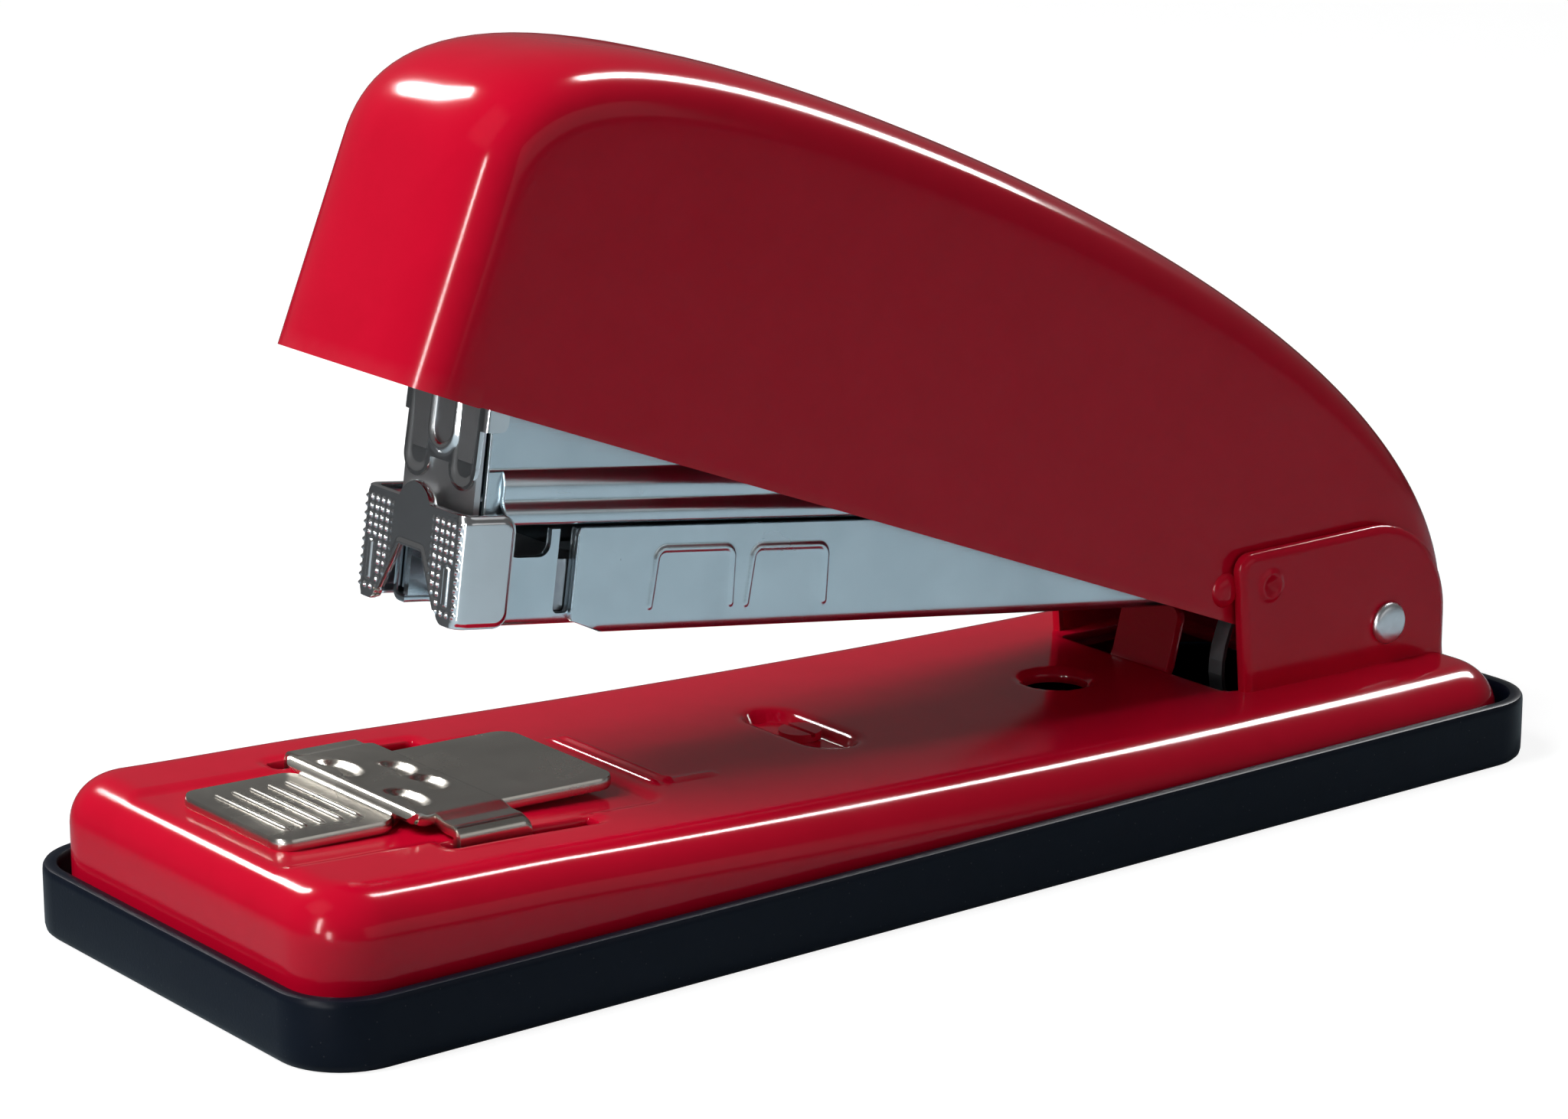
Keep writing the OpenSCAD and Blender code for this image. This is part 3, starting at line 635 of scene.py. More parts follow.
def rowTree():
    # the given mesh, set Count times from Start, Step apart
    tree, gin, gout = nodeTree("row of parts", [
        ("Count", "NodeSocketInt", 5), ("Start", "NodeSocketVector", (0.0, 0.0, 0.0)),
        ("Step", "NodeSocketVector", (0.0, 0.0, 0.0)), ("Finish", "NodeSocketMaterial", None)])
    line = addNode(tree, "GeometryNodeMeshLine")
    link(tree, gin.outputs["Count"], line.inputs["Count"])
    link(tree, gin.outputs["Start"], line.inputs["Start Location"])
    link(tree, gin.outputs["Step"], line.inputs["Offset"])
    place = addNode(tree, "GeometryNodeInstanceOnPoints")
    link(tree, line.outputs[0], place.inputs["Points"])
    link(tree, gin.outputs["Geometry"], place.inputs["Instance"])
    return closeTree(tree, gin, gout, place.outputs[0])


trees = {"spring": springTree(), "row": rowTree()}


def runTree(obj, tree, finish, values):
    mod = obj.modifiers.new("build", "NODES")
    mod.node_group = tree
    ids = {i.name: i.identifier for i in tree.interface.items_tree if i.in_out == "INPUT"}
    for label, value in values.items():
        mod[ids[label]] = value
    mod[ids["Finish"]] = materials[finish]
    bpy.context.view_layer.update()
    grown = obj.evaluated_get(bpy.context.evaluated_depsgraph_get())
    mesh = bpy.data.meshes.new_from_object(grown)
    obj.modifiers.remove(mod)
    obj.data = mesh
    return obj


def movePoints(obj, place):
    # points of a mesh in metres, seen as mm in a tilted frame, to the shared frame
    co = np.array([v.co for v in obj.data.vertices]) / mm
    obj.data.vertices.foreach_set("co", (place(co[:, 0], co[:, 1], co[:, 2]) * mm).ravel())
    obj.data.update()
    obj.data.shade_smooth()
    obj.data.set_sharp_from_angle(angle=math.radians(45))


def lathe(name, profile, steps=32):
    # profile: (radius, height) from the axis out and back to the axis
    verts, faces = [], []
    ring = [(math.cos(2 * math.pi * i / steps), math.sin(2 * math.pi * i / steps)) for i in range(steps)]
    for r, z in profile:
        verts += [(r * c, r * s, z) for c, s in ring]
    for k in range(len(profile) - 1):
        for i in range(steps):
            a, b = k * steps + i, k * steps + (i + 1) % steps
            faces.append((a, b, b + steps, a + steps))
    faces.append(tuple(range(steps - 1, -1, -1)))
    faces.append(tuple(range((len(profile) - 1) * steps, len(profile) * steps)))
    return meshObject(name, verts, faces, 45)


ribs = {"count": 5, "first": -17.9, "pitch": 2.1, "half": 7.2, "width": 0.36, "height": 0.26}


def makeAnvilRibs():
    r = ribs
    verts, faces = [], []
    around = 8
    stations = [(-r["half"], 0.05), (-r["half"] + 0.25, 0.6), (-r["half"] + 0.7, 1)]
    stations += [(-s, k) for s, k in reversed(stations)]
    for y, k in stations:
        for i in range(around):
            a = 2 * math.pi * i / around
            verts.append((r["width"] * k * math.cos(a), y, r["height"] * k * math.sin(a)))
    for j in range(len(stations) - 1):
        for i in range(around):
            a, b = j * around + i, j * around + (i + 1) % around
            faces.append((a, a + around, b + around, b))
    faces.append(tuple(range(around)))
    faces.append(tuple(range(len(verts) - 1, len(verts) - around - 1, -1)))
    rib = meshObject("anvilRibs", verts, faces)
    row = {"Count": r["count"], "Start": (r["first"] * mm, 0, 0), "Step": (r["pitch"] * mm, 0, 0)}
    runTree(rib, trees["row"], "nickelPlate", row)
    movePoints(rib, anvilAt)
    finishPiece(rib, "nickelPlate", "anvil")


makeAnvilRibs()
print("anvil made")

# magazine sleeve, a U of sheet steel with pressed marks
# marks: rear, front, top and lower end of each pressed staple outline
sleeve = {"half": 8.5, "bottom": 0.7, "top": 12.0, "front": 111.7, "back": 2.0, "bend": 1.3, "sheet": 0.8,
          "slot": (21, 0, 12, 5.6), "shear": (106.7, 0.7, 3.2, 3.2), "fine": 0.17,
          "marks": ((101.6, 91.6, 9.6, 3.5), (88.8, 78.9, 9.5, 3.4)), "markWidth": 0.36, "markRise": 0.24}


def wrapU(v, half, bend, bottom):
    # from the middle of the floor, round the bend and up the wall
    flat = half - bend
    e = np.maximum(np.abs(v) - flat, 0)
    turn = np.minimum(e / bend, math.pi / 2)
    rise = np.maximum(e - bend * math.pi / 2, 0)
    y = np.sign(v) * (np.minimum(np.abs(v), flat) + bend * np.sin(turn))
    return y, bottom + bend * (1 - np.cos(turn)) + rise, np.sin(turn), np.cos(turn)


def markDistance(s, t):
    d = np.full(s.shape, 1e9)
    for s0, s1, top, low in sleeve["marks"]:
        flare = 0.35 * (top - t) / (top - low)
        middle, half = (s0 + s1) / 2, (s0 - s1) / 2 + flare
        arch = np.abs(distBox(s, t, middle, (top + low) / 2 - 3, half, (top - low) / 2 + 3, 1.1))
        d = np.minimum(d, np.where(t > low, arch, np.hypot(arch, t - low)))
    return d


eye = {"around": 4.4, "hole": 1.95}    # the round ends that hang on the pin


# a flat plate on each side of the magazine; forward is -1 where u runs towards the nose
def sidePlates(names, half, us, vs, cut, wall, forward=1):
    for side, name in zip((-1, 1), names):
        def place(u, v):
            return magazineAt(forward * u, side * (half + 0 * u), v)
        piece = sheetPiece(name, us, vs, place, wall, cut, flip=side * forward > 0)
        finishPiece(piece, "platedSteel", "magazine")


def makeSleeve():
    k = sleeve
    reach = k["half"] - k["bend"] + k["bend"] * math.pi / 2 + (k["top"] - k["bottom"] - k["bend"])

    def place(u, v):
        y, t, out, down = wrapU(v, k["half"], k["bend"], k["bottom"])
        mark = k["markRise"] * ease(1.25 - markDistance(u, t) / k["markWidth"]) * out
        lip = -0.22 * ease(1 - (k["front"] - u) / 1.2)
        return magazineAt(-u, y + np.sign(v) * (mark + lip * out), t - lip * down)

    def cut(u, v):
        t = wrapU(v, k["half"], k["bend"], k["bottom"])[1]
        d = np.maximum(u - k["front"], k["back"] - u)
        d = np.maximum(d, np.abs(v) - reach)
        start, low, slope, high = k["shear"]
        sheared = (u - start) - (t - low) * slope
        d = np.maximum(d, np.where(t < high, sheared * 0.3, -5))
        pastFront, pastTop = u - k["front"] + 0.5, t - k["top"] + 0.5
        corner = np.where((pastFront > 0) & (pastTop > 0), np.hypot(pastFront, pastTop) - 0.5, -5)
        return np.maximum(np.maximum(d, corner), -distBox(u, v, *k["slot"], 0.8))
    fine = k["fine"]    # the grid is fine where the marks are
    us = stretched((k["back"], 0.75), (74.6, fine), (102.7, 0.4), (k["front"], 0))
    vs = stretched((-reach, 0.5), (-17.7, fine), (-10.2, 0.5), (10.2, fine), (17.7, 0.5), (reach, 0))
    finishPiece(sheetPiece("sleeve", us, vs, place, k["sheet"], cut), "platedSteel", "magazine",
                "magazine_sleeve")

    def endCut(u, v):
        d = np.minimum(distDisc(u, v, 0, 0, eye["around"]), distBox(u, v, -6, 1.6, 6.2, 2.8, 0.5))
        return np.maximum(d, -distDisc(u, v, 0, 0, eye["hole"]))
    us, vs = spaced(-12.3, 4.6, 0.4), spaced(-4.6, 4.6, 0.4)
    sidePlates(("sleeveEndNear", "sleeveEndFar"), k["half"], us, vs, endCut, k["sheet"])


makeSleeve()

# housing above the sleeve, with its two rolled beads
housing = {"front": 122.9, "back": 14.0, "wall": 6.95, "sheet": 0.75, "thin": 0.7, "step": 0.42,
           "openings": ((124, 0, 9, 6.15, 0.5), (10, 0, 6.5, 6.15, 0.5)),
           "arm": [(-18, 15.2), (-12.5, 12.9), (-4.4, 0), (0, -4.4), (4.4, 0), (4.4, 4), (-2, 5.6), (-8, 15),
                   (-14, 15.4)],
           "half": [(0, 12.25), (6.4, 12.25), (7.5, 12.3), (8.15, 12.5), (8.32, 13.1), (8.28, 13.8),
                    (7.95, 14.35), (7.62, 14.9),
                    (7.7, 15.6), (7.72, 16.4), (7.45, 17.2), (7.05, 17.9), (6.95, 18.8), (6.95, 27.2)]}


def smoothPath(pts, per=8):
    p = np.array([pts[0]] + list(pts) + [pts[-1]], float)
    out = []
    for i in range(1, len(p) - 2):
        for j in range(per):
            t = j / per
            a, b, c, d = p[i - 1], p[i], p[i + 1], p[i + 2]
            bend, twist = 2 * a - 5 * b + 4 * c - d, 3 * b - a - 3 * c + d
            out.append(0.5 * (2 * b + (c - a) * t + bend * t * t + twist * t ** 3))
    out.append(p[-2])
    return np.array(out)


def alongPath(path):
    return np.concatenate([[0], np.cumsum(np.hypot(*np.diff(path, axis=0).T))])


def makeHousing():
    k = housing
    path = smoothPath(k["half"], 6)
    length = alongPath(path)
    reach = length[-1]
    topLine = [(-5, 13.6), (14, 15), (60, 19.5), (112, 27.1), (130, 27.1)]

    def section(v):
        a = np.minimum(np.abs(v), reach)
        return np.interp(a, length, path[:, 0]) * np.sign(v), np.interp(a, length, path[:, 1])

    def place(u, v):
        y, t = section(v)
        return magazineAt(-u, y, t)

    def cut(u, v):
        y, t = section(v)
        top = np.interp(u, *zip(*topLine))
        d = np.maximum(np.maximum(u - k["front"], k["back"] - u), t - top)
        d = np.maximum(d, np.abs(v) - reach)
        bead = np.where((np.abs(y) > 7.05) & (t < 17.8), u - 121.2, -5)
        d = np.maximum(d, bead)
        for hole in k["openings"]:
            d = np.maximum(d, -distBox(u, v, *hole))
        return d
    us, vs = spaced(k["back"], k["front"], k["step"]), spaced(-reach, reach, 0.3)
    finishPiece(sheetPiece("housing", us, vs, place, k["sheet"], cut), "platedSteel", "magazine",
                "magazine_housing")

    def lipCut(u, v):
        return distBox(u, v, 121.6, 15.4, 1.3, 2.9, 0.3)

    def armCut(u, v):
        d = np.minimum(distPoly(u, v, k["arm"]), distDisc(u, v, 0, 0, eye["around"]))
        return np.maximum(d, -distDisc(u, v, 0, 0, eye["hole"]))
    us, vs = spaced(120.1, 123.1, 0.3), spaced(12.3, 18.5, 0.3)
    sidePlates(("housingLipNear", "housingLipFar"), k["wall"], us, vs, lipCut, k["thin"], -1)
    us, vs = spaced(-18.5, 4.8, 0.4), spaced(-4.8, 15.6, 0.4)
    sidePlates(("housingArmNear", "housingArmFar"), k["wall"] - 0.02, us, vs, armCut, k["thin"])


makeHousing()
print("magazine made")

# drawer: channel, knurled nose
drawer = {"half": 7.5, "bottom": 1.6, "top": 11.8, "front": 123.3, "back": 36.0, "bend": 1.2,
          "sheet": 0.8, "step": 0.42, "notch": (117.35, 12.4, 2.65, 3.5, 1.3),
          "gap": (112.65, 9.0, 1.0, 6.1, 0.6), "mouth": (124, 0, 4.6, 5.3, 1.2)}


def makeDrawer():
    k = drawer
    reach = k["half"] - k["bend"] + k["bend"] * math.pi / 2 + (k["top"] - k["bottom"] - k["bend"])

    def place(u, v):
        y, t = wrapU(v, k["half"], k["bend"], k["bottom"])[:2]
        return magazineAt(-u, y, t)

    def cut(u, v):
        t = wrapU(v, k["half"], k["bend"], k["bottom"])[1]
        d = np.maximum(np.maximum(u - k["front"], k["back"] - u), np.abs(v) - reach)
        d = np.maximum(np.maximum(d, -distBox(u, t, *k["notch"])), -distBox(u, t, *k["gap"]))
        return np.maximum(d, -distBox(u, v, *k["mouth"]))
    us, vs = spaced(k["back"], k["front"], k["step"]), spaced(-reach, reach, 0.36)
    finishPiece(sheetPiece("drawerChannel", us, vs, place, k["sheet"], cut), "platedSteel", "drawer",
                "drawer_channel")


makeDrawer()

nose = {"face": 126.9, "half": 9.4, "sheet": 0.9, "bend": 1.5, "low": 2.0, "top": 13.6, "flangeBack": 120.4,
        "step": 0.125, "corner": 1.7, "bump": (0, 12.5, 3.0), "tenon": (7.05, 6.0, 0.42, 2.1),
        "notch": [(-5.7, 0.5), (-4.9, 3.0), (-1.9, 8.4), (1.9, 8.4), (4.9, 3.0), (5.7, 0.5)],
        "knurlAcross": 1.0, "knurlUp": 0.92, "knurlDepth": 0.34, "knurlFrom": (3.5, 2.5),
        "knurlTo": (8.7, 13.2)}


def makeNose():
    k = nose
    flat = k["half"] - k["bend"]
    reach = flat + k["bend"] * math.pi / 2 + (k["face"] - k["bend"] - k["flangeBack"])

    def bendRound(w):
        e = np.maximum(np.abs(w) - flat, 0)
        turn = np.minimum(e / k["bend"], math.pi / 2)
        back = np.maximum(e - k["bend"] * math.pi / 2, 0)
        y = np.sign(w) * (np.minimum(np.abs(w), flat) + k["bend"] * np.sin(turn))
        return y, k["face"] - k["bend"] * (1 - np.cos(turn)) - back, turn

    def outline(u, v):
        middle, tall = (k["low"] + k["top"]) / 2, (k["top"] - k["low"]) / 2
        return distBox(u, v, 0, middle, reach, tall, k["corner"])

    def place(u, v):
        y, s, turn = bendRound(u)
        across = 0.5 - 0.5 * np.cos(2 * math.pi * u / k["knurlAcross"])
        up = 0.5 - 0.5 * np.cos(2 * math.pi * v / k["knurlUp"])
        tooth = (across * up) ** 1.6
        (inner, lower), (outer, upper) = k["knurlFrom"], k["knurlTo"]
        zone = ease((np.abs(u) - inner) / 0.3) * ease((outer - np.abs(u)) / 0.3)
        zone = zone * ease((v - lower) / 0.4) * ease((upper - v) / 0.4)
        zone = zone * ease(distPoly(u, v, k["notch"]) / 0.7 - 0.4)
        ty, tt, thy, tht = k["tenon"]
        slotD = distBox(np.abs(u), v, ty, tt, thy, tht, 0.2)
        stake = 0.16 * ease(1 - slotD / 0.35) - 0.20 * ease(1 - np.abs(slotD) / 0.22)
        lip = 0.12 * ease(1 - np.abs(distPoly(u, v, k["notch"]) - 0.45) / 0.5)
        zone = zone * ease(slotD / 0.5 - 0.5)
        rolled = 0.30 * ease(1 + outline(u, v) / 0.8)
        puff = k["knurlDepth"] * tooth * zone + (stake + lip) * np.cos(turn) - rolled * np.sin(turn)
        return magazineAt(-(s + puff * np.cos(turn)), y + np.sign(u) * puff * np.sin(turn), v)

    def cut(u, v):
        d = np.minimum(outline(u, v), distDisc(u, v, *k["bump"]))
        d = np.maximum(d, 0.25 - distPoly(u, v, k["notch"]))
        foot = np.hypot(np.maximum(6.9 - np.abs(u), 0), np.maximum(3.2 - v, 0)) - 1.25
        return np.where((v < 3.2) & (np.abs(u) < 6.9), np.maximum(d, foot), d)
    us, vs = spaced(-reach - 0.2, reach + 0.2, k["step"]), spaced(1.8, 15.8, k["step"])
    piece = sheetPiece("nosePlate", us, vs, place, k["sheet"], cut, flip=True)
    finishPiece(piece, "chromePlate", "drawer", "drawer_nose")


makeNose()

# the driver's formed guide, two lobes and a rolled slot
guide = {"face": 124.45, "sheet": 0.5, "step": 0.18, "half": 7.6, "bend": 0.7, "tabBack": 121.7,
         "lean": 0.03}


def makeGuide():
    k = guide
    flat = k["half"] - k["bend"]
    reach = flat + k["bend"] * math.pi / 2 + (k["face"] - k["bend"] - k["tabBack"])

    def bendRound(w):
        e = np.maximum(np.abs(w) - flat, 0)
        turn = np.minimum(e / k["bend"], math.pi / 2)
        back = np.maximum(e - k["bend"] * math.pi / 2, 0)
        return (np.sign(w) * (np.minimum(np.abs(w), flat) + k["bend"] * np.sin(turn)),
                k["face"] - k["bend"] * (1 - np.cos(turn)) - back, turn)

    def slotDistance(u, v):
        return distBox(u, v, 0, 27.2, 1.7, 7.7, 1.7)

    def lobes(u, v):
        return distBox(np.abs(u), v, 4.15, 22.6, 1.95, 6.7, 1.8)

    def place(u, v):
        y, s, turn = bendRound(u)
        d = slotDistance(u, v)
        rolled = 0.30 * ease(1 - np.abs(d - 0.5) / 0.75)
        dish = -0.24 * ease(-lobes(u, v) / 0.7)
        puff = (rolled + dish - 0.12) * np.cos(turn)
        return magazineAt(-(s + puff - k["lean"] * (v - 17)), y, v)

    def cut(u, v):
        body = distBox(u, v, 0, 24.2, 6.5, 6.4, 0.6)
        d = np.minimum(body, distDisc(np.abs(u), v, 4.1, 17.75, 2.4))
        d = np.minimum(d, distBox(u, v, 0, 25.9, reach, 4.0, 0.9))
        bridge = -distDisc(u, v, 0, 15.6, 1.85)
        return np.maximum(np.maximum(d, bridge), -slotDistance(u, v))
    us, vs = spaced(-reach - 0.2, reach + 0.2, k["step"]), spaced(15.0, 30.2, k["step"])
    piece = sheetPiece("bladeGuide", us, vs, place, k["sheet"], cut, flip=True)
    finishPiece(piece, "chromePlate", "handle", "blade_guide")


makeGuide()
print("drawer and driver made")

# cover
cover = {"half": 15.1, "low": -5.2, "front": -141.0, "wall": 1.0, "depth": 8.2, "power": 3.2,
         "nose": [(-141, 17), (-141, 31), (-126, 36.8), (-84, 35.8)],
         "tail": [(-84, 35.8), (-40, 34.75), (9, 26.2), (15, 2.2)], "trim": [(-3, -5.2), (5.8, -1.7)],
         "sideLoops": (0.04, 0.5, 0.97), "around": 26, "bump": (-25.4, -1.8, 2.0, 0.8)}


def cubic(p, n):
    t = np.linspace(0, 1, n + 1)[:, None]
    a, b, c, d = [np.array(q, float) for q in p]
    return a * (1 - t) ** 3 + 3 * b * t * (1 - t) ** 2 + 3 * c * t * t * (1 - t) + d * t ** 3


def coverOutline():
    # the front leans out a little towards its lower edge
    x, low, high = cover["front"], cover["low"], cover["nose"][0][1]
    front = [(x - 0.4 * (1 - i / 10), low + (high - low) * i / 10) for i in range(10)]
    return np.concatenate([front, cubic(cover["nose"], 30)[:-1], cubic(cover["tail"], 60)])


def makeCover():
    k = cover
    line = coverOutline()
    step = np.gradient(line, axis=0)
    inward = np.stack([step[:, 1], -step[:, 0]], 1)
    inward /= np.linalg.norm(inward, axis=1, keepdims=True)
    n = len(line)
    lowX = [k["front"] + k["depth"], k["trim"][0][0], k["trim"][1][0]]
    lowZ = [k["low"], k["low"], k["trim"][1][1]]
    share = alongPath(line)
    share /= share[-1]
    forward = np.clip((share - 0.10) / 0.84, 0, 1)
    quarter = [math.pi / 2 * i / k["around"] for i in range(k["around"] + 1)]
    p = 2 / k["power"]
    verts = []
    for i in range(n):
        rim = line[i] + inward[i] * k["depth"]
        span = lowX[2] - lowX[0]
        bx = lowX[0] + span * forward[i]
        bz = np.interp(bx, lowX, lowZ)
        row = [(bx + (rim[0] - bx) * f, k["half"], bz + (rim[1] - bz) * f) for f in (0, *k["sideLoops"])]
        for a in reversed(quarter):
            y = k["half"] * math.sin(a) ** p if a > 0 else 0
            d = k["depth"] * (1 - max(math.cos(a), 0) ** p)
            q = line[i] + inward[i] * d
            row.append((q[0], y, q[1]))
        row += [(x, -y, z) for x, y, z in reversed(row[:-1])]
        verts.append(row)
    m = len(verts[0])
    pts = np.array(verts).reshape(-1, 3)
    corners = [i * m + j for i in range(n - 1) for j in range(m - 1)]
    faces = [(c, c + m, c + m + 1, c + 1) for c in corners]
    world = coverAt(pts[:, 0], pts[:, 1], pts[:, 2])
    shell = meshObject("coverShell", world, faces, 60)
    bm = bmesh.new()
    bm.from_mesh(shell.data)
    bmesh.ops.remove_doubles(bm, verts=bm.verts, dist=weld)
    bmesh.ops.dissolve_degenerate(bm, edges=bm.edges, dist=weld)
    bmesh.ops.recalc_face_normals(bm, faces=bm.faces)
    top = max(bm.faces, key=lambda g: g.calc_center_median().z)
    if top.normal.z < 0:
        bmesh.ops.reverse_faces(bm, faces=bm.faces)
    bm.to_mesh(shell.data)
    bm.free()
    wall = shell.modifiers.new("wall", "SOLIDIFY")
    wall.thickness = k["wall"] * mm
    wall.offset = -1
    wall.use_even_offset = False
    bpy.context.view_layer.update()
    solid = bpy.data.meshes.new_from_object(shell.evaluated_get(bpy.context.evaluated_depsgraph_get()))
    shell.modifiers.remove(wall)
    shell.data = solid
    solid.shade_smooth()
    solid.set_sharp_from_angle(angle=math.radians(45))
    finishPiece(shell, "redEnamel", "handle", "cover_shell")
    bx, bz, r, h = k["bump"]
    for side, name in ((-1, "coverBumpNear"), (1, "coverBumpFar")):
        dome = lathe(name, [(r, -0.4), (r, 0), (r * 0.93, h * 0.32), (r * 0.75, h * 0.68),
                            (r * 0.45, h * 0.92), (0.02, h)], 28)
        movePoints(dome, lambda x, y, z: coverAt(bx + x, side * (k["half"] + z), bz - side * y))
        finishPiece(dome, "redEnamel", "handle")


makeCover()
print("cover made")

# springs
springs = {"return": {"radius": 3.6, "wire": 0.45, "length": 8.6, "turns": 6, "at": (-64, 0, 13.5),
                      "keep": 0.5},
           "follower": {"radius": 1.75, "wire": 0.25, "length": 70.8, "turns": 26, "from": 37.5, "rod": 4.5,
                        "keep": 0.155},
           "lift": {"keep": 0.87}}


def makeCoil(name, k, place, body, node):
    coil = meshObject(name, [(0, 0, 0), (1, 0, 0), (0, 1, 0)], [(0, 1, 2)])
    runTree(coil, trees["spring"], "springSteel", {
        "Turns": float(k["turns"]), "Coil Radius": (k["radius"] - k["wire"]) * mm,
        "Wire Radius": k["wire"] * mm, "Height": k["length"] * mm})
    movePoints(coil, place)
    return finishPiece(coil, "springSteel", body, node)


def squashUp(piece):
    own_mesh(piece)


def makeSprings():
    r = springs["return"]
    ax, ay, az = r["at"]
    coil = makeCoil("returnSpring", r, lambda x, y, z: magazineAt(x + ax, y + ay, z + az),
                    "magazine", "return_spring")
    squashUp(coil)
    f = springs["follower"]
    coil = makeCoil("followerSpring", f, lambda x, y, z: magazineAt(-f["from"] - z, y, f["rod"] + x),
                    "drawer", "follower_spring")
    anchor = magazineAt(-f["from"], 0, f["rod"]) * mm
    axis = magazineAt(-1, 0, 0) - magazineAt(0, 0, 0)
    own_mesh(coil)
    leaf = nodes["lift_spring"].copy()
    leaf.data = leaf.data.copy()
    leaf.name = "liftSpring"
    scene.collection.objects.link(leaf)
    bm = bmesh.new()
    bm.from_mesh(leaf.data)
    bmesh.ops.remove_doubles(bm, verts=bm.verts, dist=weld)
    bm.to_mesh(leaf.data)
    bm.free()
    finishPiece(leaf, "springSteel", "base", "lift_spring")
    squashUp(leaf)


makeSprings()

# hinge pin heads
pinHead = {"shaft": 1.9, "reach": 17.0, "head": 2.5}


def makePin():
    k = pinHead
    reach, head = k["reach"], k["head"]
    half = [(k["shaft"], reach + 0.03), (head - 0.1, reach + 0.05), (head, reach + 0.2), (head, reach + 0.45),
            (head - 0.22, reach + 0.75), (head - 0.6, reach + 0.92), (1.0, reach + 1.0), (0.02, reach + 1.03)]
    rod = lathe("hingePin", [(r, -h) for r, h in reversed(half)] + half, 40)
    movePoints(rod, lambda x, y, z: np.stack([pin[0] + x, -z, pin[2] + y], -1))
    finishPiece(rod, "zincPlate", "base", "hinge_pin")


makePin()

# CAD solids that keep their shape
kept = {"redEnamel": ["tray_screw"],
        "springSteel": ["anvil_retainer", "anvil_detent", "drawer_latch", "follower"],
        "zincPlate": ["housing_rivets", "hinge_spacer", "side_bushings", "guide_rod", "driver_rivets"],
        "platedSteel": ["staple_rail", "drawer_end_plate", "cover_bracket", "driver_channel"],
        "brushedBlade": ["driver_blade"]}
for finish, names in kept.items():
    for name in names:
        for place in nodes[name].material_slots:
            place.material = materials[finish]

# floor, backdrop and soft light
# the paper's colour as seen, as it lights the piece, and as it is mirrored near and far
studio = {"seen": (0.30, 0.30, 0.30), "felt": (0.36, 0.36, 0.37), "mirrored": (0.64, 0.77, 0.84),
          "mirroredFar": (0.10, 0.105, 0.11), "fade": (-0.02, 0.10), "glow": 0.88, "worldSeen": 1.0,
          "worldFelt": 0.13}


def paperByRay(tree, seen, felt):
    # the paper looks white, but throws less light back at the piece
    ray = addNode(tree, "ShaderNodeLightPath")
    pick = addNode(tree, "ShaderNodeMix", {"data_type": "RGBA"})
    pick.inputs[6].default_value = (*felt, 1)
    pick.inputs[7].default_value = (*seen, 1)
    link(tree, ray.outputs["Is Camera Ray"], pick.inputs[0])
    return pick, ray


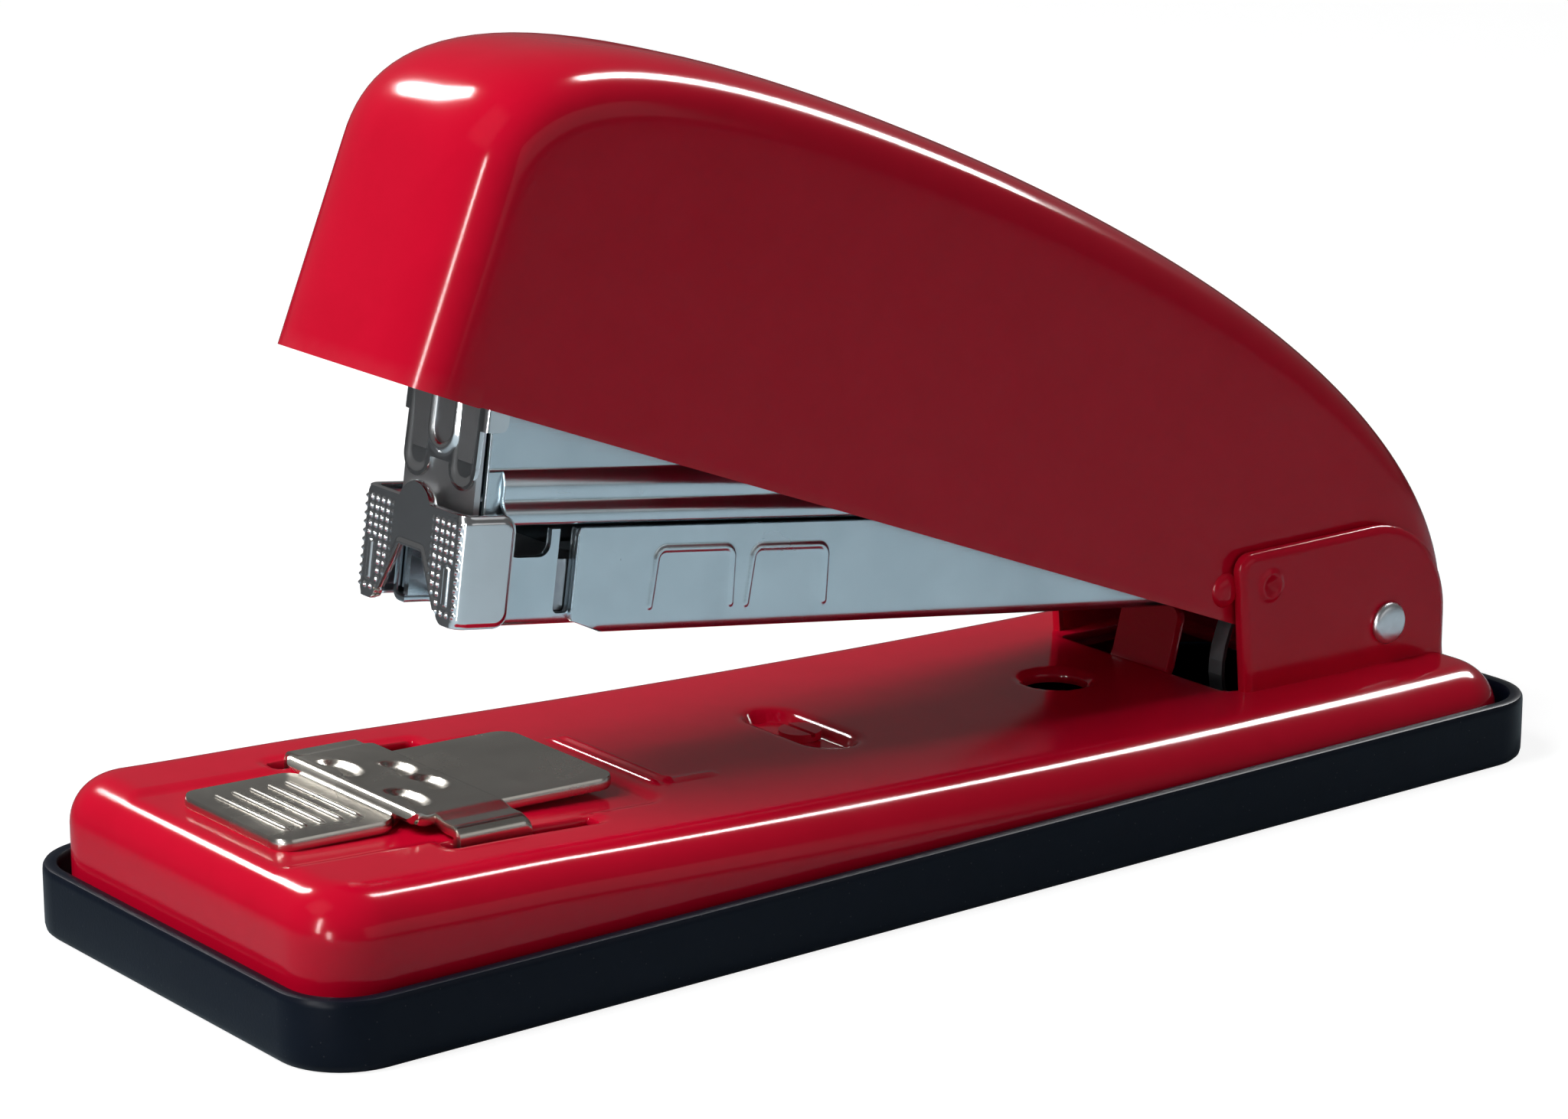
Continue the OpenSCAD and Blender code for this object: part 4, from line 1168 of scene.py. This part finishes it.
def makeStudio():
    bpy.ops.mesh.primitive_plane_add(size=6, location=(0, 0, 0))
    floor = bpy.context.object
    floor.name = "floor"
    paper = bpy.data.materials.new("paper")
    paper.use_nodes = True
    tree = paper.node_tree
    shader = tree.nodes["Principled BSDF"]
    shader.inputs["Roughness"].default_value = 0.9
    shader.inputs["Specular IOR Level"].default_value = 0.0
    pick, ray = paperByRay(tree, studio["seen"], studio["felt"])
    gloss = addNode(tree, "ShaderNodeMix", {"data_type": "RGBA"})
    gloss.inputs[6].default_value = (*studio["felt"], 1)
    # painted reflection: mirrored in metal, the paper is bright in front of the piece and dark behind it,
    # though it looks evenly white
    coord = addNode(tree, "ShaderNodeTexCoord")
    apart = addNode(tree, "ShaderNodeSeparateXYZ")
    fade = addNode(tree, "ShaderNodeMapRange", i1=studio["fade"][0], i2=studio["fade"][1])
    sides = addNode(tree, "ShaderNodeMix", {"data_type": "RGBA"})
    sides.inputs[6].default_value = (*studio["mirrored"], 1)
    sides.inputs[7].default_value = (*studio["mirroredFar"], 1)
    link(tree, coord.outputs["Object"], apart.inputs[0])
    link(tree, apart.outputs["Y"], fade.inputs[0])
    link(tree, fade.outputs[0], sides.inputs[0])
    link(tree, sides.outputs[2], gloss.inputs[7])
    link(tree, ray.outputs["Is Glossy Ray"], gloss.inputs[0])
    link(tree, gloss.outputs[2], pick.inputs[6])
    link(tree, pick.outputs[2], shader.inputs["Base Color"])
    shader.inputs["Emission Strength"].default_value = studio["glow"]
    link(tree, ray.outputs["Is Camera Ray"], shader.inputs["Emission Color"])
    floor.data.materials.append(paper)
    world = bpy.data.worlds.new("studio")
    scene.world = world
    world.use_nodes = True
    tree = world.node_tree
    seen, felt = [(v, v, v) for v in (studio["worldSeen"], studio["worldFelt"])]
    link(tree, paperByRay(tree, seen, felt)[0].outputs[2], tree.nodes["Background"].inputs[0])


# each soft box: direction from the piece, distance, width and height, power, and what it lights
lamps = {"key": {"way": (-0.60, 0.14, 0.79), "far": 0.95, "size": (0.5, 0.5), "power": 8.6, "lights": "matt"},
         "noseLine": {"way": (-0.93, -0.18, 0.33), "far": 0.9, "size": (0.035, 0.42), "power": 4.0,
                      "lights": "gloss"},
         "roofStreak": {"way": (-0.16, 0.76, 0.63), "far": 0.9, "size": (0.12, 0.22), "power": 5.6,
                        "lights": "gloss"},
         "edgeLine": {"way": (0.70, 0.13, 0.69), "far": 0.95, "size": (0.17, 0.7), "power": 21,
                      "lights": "gloss"},
         "bendLine": {"way": (-0.82, -0.42, 0.07), "far": 0.9, "size": (0.08, 0.2), "power": 1.6,
                      "lights": "gloss"},
         "near": {"way": (0.25, -0.93, 0.25), "far": 1.3, "size": (1.2, 0.5), "power": 1.0, "lights": "both"}}


def makeLamps():
    middle = Vector((-0.01, 0, 0.04))
    for name, lamp in lamps.items():
        data = bpy.data.lights.new(name, "AREA")
        data.shape = "RECTANGLE"
        data.size, data.size_y = lamp["size"]
        data.energy = lamp["power"]
        obj = bpy.data.objects.new(name, data)
        scene.collection.objects.link(obj)
        obj.visible_diffuse = lamp["lights"] != "gloss"
        obj.visible_glossy = lamp["lights"] != "matt"
        obj.location = middle + Vector(lamp["way"]).normalized() * lamp["far"]
        obj.rotation_euler = (middle - obj.location).to_track_quat("-Z", "Y").to_euler()


makeStudio()
makeLamps()
scene.view_settings.view_transform = "Standard"
print("studio made")
